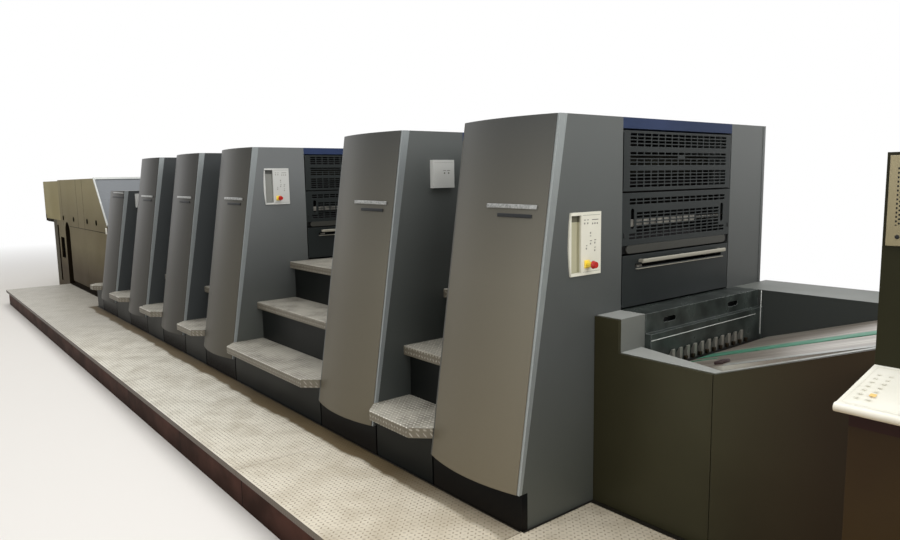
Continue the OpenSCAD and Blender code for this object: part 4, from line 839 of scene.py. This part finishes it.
# painted shade: the arch, the slit, the joint by the post, the toe and the plug holes are painted near black and
# dull; the seams are dark joints
hollows = [{"x": x, "y": RECESS_DEPTH, "z": z} for x, z in (
    ((-8842, -8553), (-10, 842)), ((-9187, -8943), (333, 622)), ((-9372, -9273), (-10, 782)),
    ((-9700, -6500), (-30, 71)))]
holes = [{"x": near(x, 22), "y": (150.8, 185), "z": (867, 911)} for x in PLUG_XS]
seams = [{"x": (x - 3, x + 7), "y": (149, 157), "z": (792, 1400)} for x in (-8940, -8000, -7655)]
repaint(delivery_paint, "1a140c", hollows + holes + seams, dull=True)
repaint(delivery_paint, "453f30", [{"x": (-9605, -9371), "y": (149, 151), "z": (-10, 849)}])
dress(delivery_paint, "delivery_body", "delivery_hood")
end_paint = sprayed_steel("pale_green_grey_paint", "91875f", "877d56", 0.5, edge="a5a48f", worn=0.3, shine=0.06)
dress(end_paint, "delivery_end_hood")
slope_paint = sprayed_steel("pale_blue_grey_enamel", "c3c6c3", "b9bcb9", 0.3, edge="e6ebed", worn=0.6)
repaint(slope_paint, "6f7377", [{"y": (163, 1777), "z": (880, 1385)}])
# painted shade: the pane darkens towards the drive side
shade_to(slope_paint, "686c70", "y", 400, 1300, 0.4)
dress(slope_paint, "slope_cover")


# Trims of the delivery. Matt rubber plugs close the holes of the hood, and a rubber bar hangs in a bracket
# below the end hood's front edge. A white guide block is screwed to the slope's foot. A dark bead covers
# the joint between body and hood.
dark_rubber = sprayed_steel("dark_brown_rubber_trim", "211c13", "1a160f", 0.8, edge="3a3529", worn=0.2, shine=0.05)
trims = [box_piece("trim", (-10069, 152, 806), (-9601, 172, 849.5), 3),
         box_piece("trim", (-10138, 146, 812), (-10096, 172, 906), 3)]
settle(weld(trims, "end_hood_trims"), dark_rubber)
settle(box_piece("slope_guide_block", (-6640, 146, 780), (-6588, 175, 850), 6), moulded_cream)


def rubber_plug(x, z):
    """A mushroom-shaped plug in a hole of the hood: a low domed head, and a stem in the sheet."""
    piece = round_piece("plug", at(x, 160, z), 18.5, 20, 16)
    bpy.ops.mesh.extrude_region_move(TRANSFORM_OT_translate={"value": (0, -0.001, 0)})
    bpy.ops.transform.resize(value=(1.6, 1, 1.6))
    bpy.ops.mesh.extrude_region_move(TRANSFORM_OT_translate={"value": (0, -0.002, 0)})
    bpy.ops.mesh.inset(thickness=0.006, depth=0.0015)
    bpy.ops.object.mode_set(mode="OBJECT")
    return piece


plug_rubber_and_slit_shade = sprayed_steel("black_rubber_plug_and_slit_shade", "0a0a09", "070707", 0.9, edge="161616", worn=0.1, shine=0.0)
settle(weld([rubber_plug(x, 889) for x in PLUG_XS], "hood_plugs"), plug_rubber_and_slit_shade)
# painted shade: a black plate stands inside the slit of the housing, where there is only shade
slit_shade_plate = box_piece("painted_shade_slit_plate", (-9184, 172, 336), (-8946, 209, 619), 2)
settle(slit_shade_plate, plug_rubber_and_slit_shade)
bead = box_piece("hood_joint_bead", (-8552, 148.6, 787), (-6645, 151.5, 793), 1)
settle(bead, dark_rubber)


# Control boxes and key boxes. Moulded ivory ABS, screwed to the towers' feeder-side faces. The shells are painted
# greyer away from the feeder, as painted light. The grip pans of the large ones are painted olive beige inside and
# darker under their upper edge, as painted shade.
CONTROL_BOXES = ((0, 250, 940), (-2733, 267, 1168))
box_shell = moulded_abs("moulded_ivory_box_shell", "cdcbbd", "d7d5c8")
# painted light: the shells turn greyer away from the feeder
shade_to(box_shell, "b9bbbb", "x", -400, -1000, 0.8)
# painted shade: the grip pans are darker inside, and darker still under their upper edge
for (face, y, z), pan, dim in zip(CONTROL_BOXES, ("aaa78e", "858681"), ("605e50", "4d4e4b")):
    inside = {"x": (face - 15.5, face - 1), "y": (y + 11, y + 69)}
    repaint(box_shell, pan, [inside])
    repaint(box_shell, dim, [{**inside, "z": (z + 207, z + 235)}])
dress(box_shell, "control_boxes", "key_boxes")


# Keys on the boxes. Low pads of satin membrane in small groups, glued on, with dark printed captions
# above them and a printed line at either end. The key boxes have printed marks only.
KEY_BOXES = {"2": (-1000, 365, 1277), "4": (-3733, 365, 1277), "5": (-4733, 365, 1277),
             "short": (SHORT_FACE, 250, 1090)}
KEY_SPOTS = ((84, 198), (102, 198), (131, 196), (145, 196), (159, 196), (119, 160), (119, 118), (145, 120),
             (95, 100), (145, 90))
CAPTIONS = ((84, 213, 10), (102, 213, 10), (131, 213, 38), (119, 131, 12), (145, 133, 12), (96, 113, 8),
            (146, 104, 8), (119, 150, 8))
KEY_BOX_MARKS = ((62, 84, 18, 3), (86, 84, 20, 3), (66, 69, 9, 8), (92, 69, 9, 8))
caption = sprayed_steel("grey_caption_print", "6e6e68", "62625c", 0.5, worn=0.1)
box_key_grey = sprayed_steel("grey_membrane_key", "8c8b83", "817f78", 0.5, edge="a3a29a", worn=0.2, edge_mm=0.2)
for number, (face, y, z) in zip("13", CONTROL_BOXES):
    front = face + 7.4
    pads = [box_piece("key", (front, y + dy, z + dz), (front + 1.4, y + dy + 7, z + dz + 7), 0.6)
            for dy, dz in KEY_SPOTS]
    settle(weld(pads, "box_keys_" + number), box_key_grey)
    marks = [box_piece("mark", (front, y + dy, z + dz), (front + 1, y + dy + long, z + dz + 3), 0.4, 1)
             for dy, dz, long in CAPTIONS]
    marks += [box_piece("mark", (front, y + 78, z + dz), (front + 0.8, y + 180, z + dz + 1.6), 0.3, 1)
              for dz in (12, 232)]
    settle(weld(marks, "box_captions_" + number), caption)
for number, (face, y, z) in KEY_BOXES.items():
    front = face + 25.4
    marks = [box_piece("mark", (front, y + dy, z + dz), (front + 1, y + dy + long, z + dz + tall), 0.4, 1)
             for dy, dz, long, tall in KEY_BOX_MARKS]
    settle(weld(marks, "key_box_marks_" + number), caption)
    lid_line = box_piece("key_box_lid_line_" + number, (front, y + 4, z + 124),
                         (front + 0.6, y + 129, z + 125.6), 0.3, 1)
    settle(lid_line, caption)


# Stop buttons. A glossy red ABS head on a yellow collar, screwed through the wall of a control box.
# A square plate of satin yellow ABS lies under the collar.
button_red = mottled("glossy_red_and_yellow_abs", 300, {0.3: "a01f1d", 0.7: "b92722"}, Roughness=0.25)[0]
repaint(button_red, "e9cb3c", [{"x": (face + 7, face + 39.5)} for face, y, z in CONTROL_BOXES])
dress(button_red, "stop_buttons")
plates = [box_piece("plate", (face + 7.4, y + 86, z + 27), (face + 11, y + 118, z + 59), 1.6)
          for face, y, z in CONTROL_BOXES]
plate_yellow = mottled("yellow_abs_plate", 200, {0.3: "dfbf3a", 0.7: "efd35a"}, Roughness=0.4)[0]
settle(weld(plates, "stop_button_plates"), plate_yellow)


# Drive side. Each unit has one flat cover over its gears, folded from sheet steel in the side panels' paint
# and held by six zinc-plated screws. The unit's own corner strip closes it towards the feeder.
def screw(x, y, z):
    """A button-head screw that points to the drive side, with a hexagon socket."""
    piece = round_piece("screw", at(x, y, z), 7, 4, 12, toward=1)
    for thickness, depth in ((0.0015, 0.001), (0.0022, 0), (0.0002, -0.0025)):
        bpy.ops.mesh.inset(thickness=thickness, depth=depth)
    bpy.ops.object.mode_set(mode="OBJECT")
    return piece


screw_steel = sprayed_steel("zinc_plated_screw_steel", "8b8d8c", "7d7f7e", 0.35, metallic=0.7, worn=0.3)
for number, (face, top) in enumerate(TOWER_TOPS, 1):
    cover = box_piece("gear_cover_%d" % number, (face - 524, 1725, 170), (face - 16, 1732, top - 22), 3)
    settle(cover, housing_paint)
    spots = [(x, z) for x in (face - 506, face - 34) for z in (190, (top + 148) / 2, top - 42)]
    x0, z0 = spots[0]
    screws = copies(screw(x0, 1734, z0), [(x - x0, 0, z - z0) for x, z in spots[1:]])
    settle(weld(screws, "gear_cover_screws_%d" % number), screw_steel)
strips = [box_piece("strip", (face - 1, 1700, 150), (face + 2.5, 1722, top - 6), 1) for face, top in TOWER_TOPS]
settle(weld(strips, "drive_corner_strips"), housing_paint)
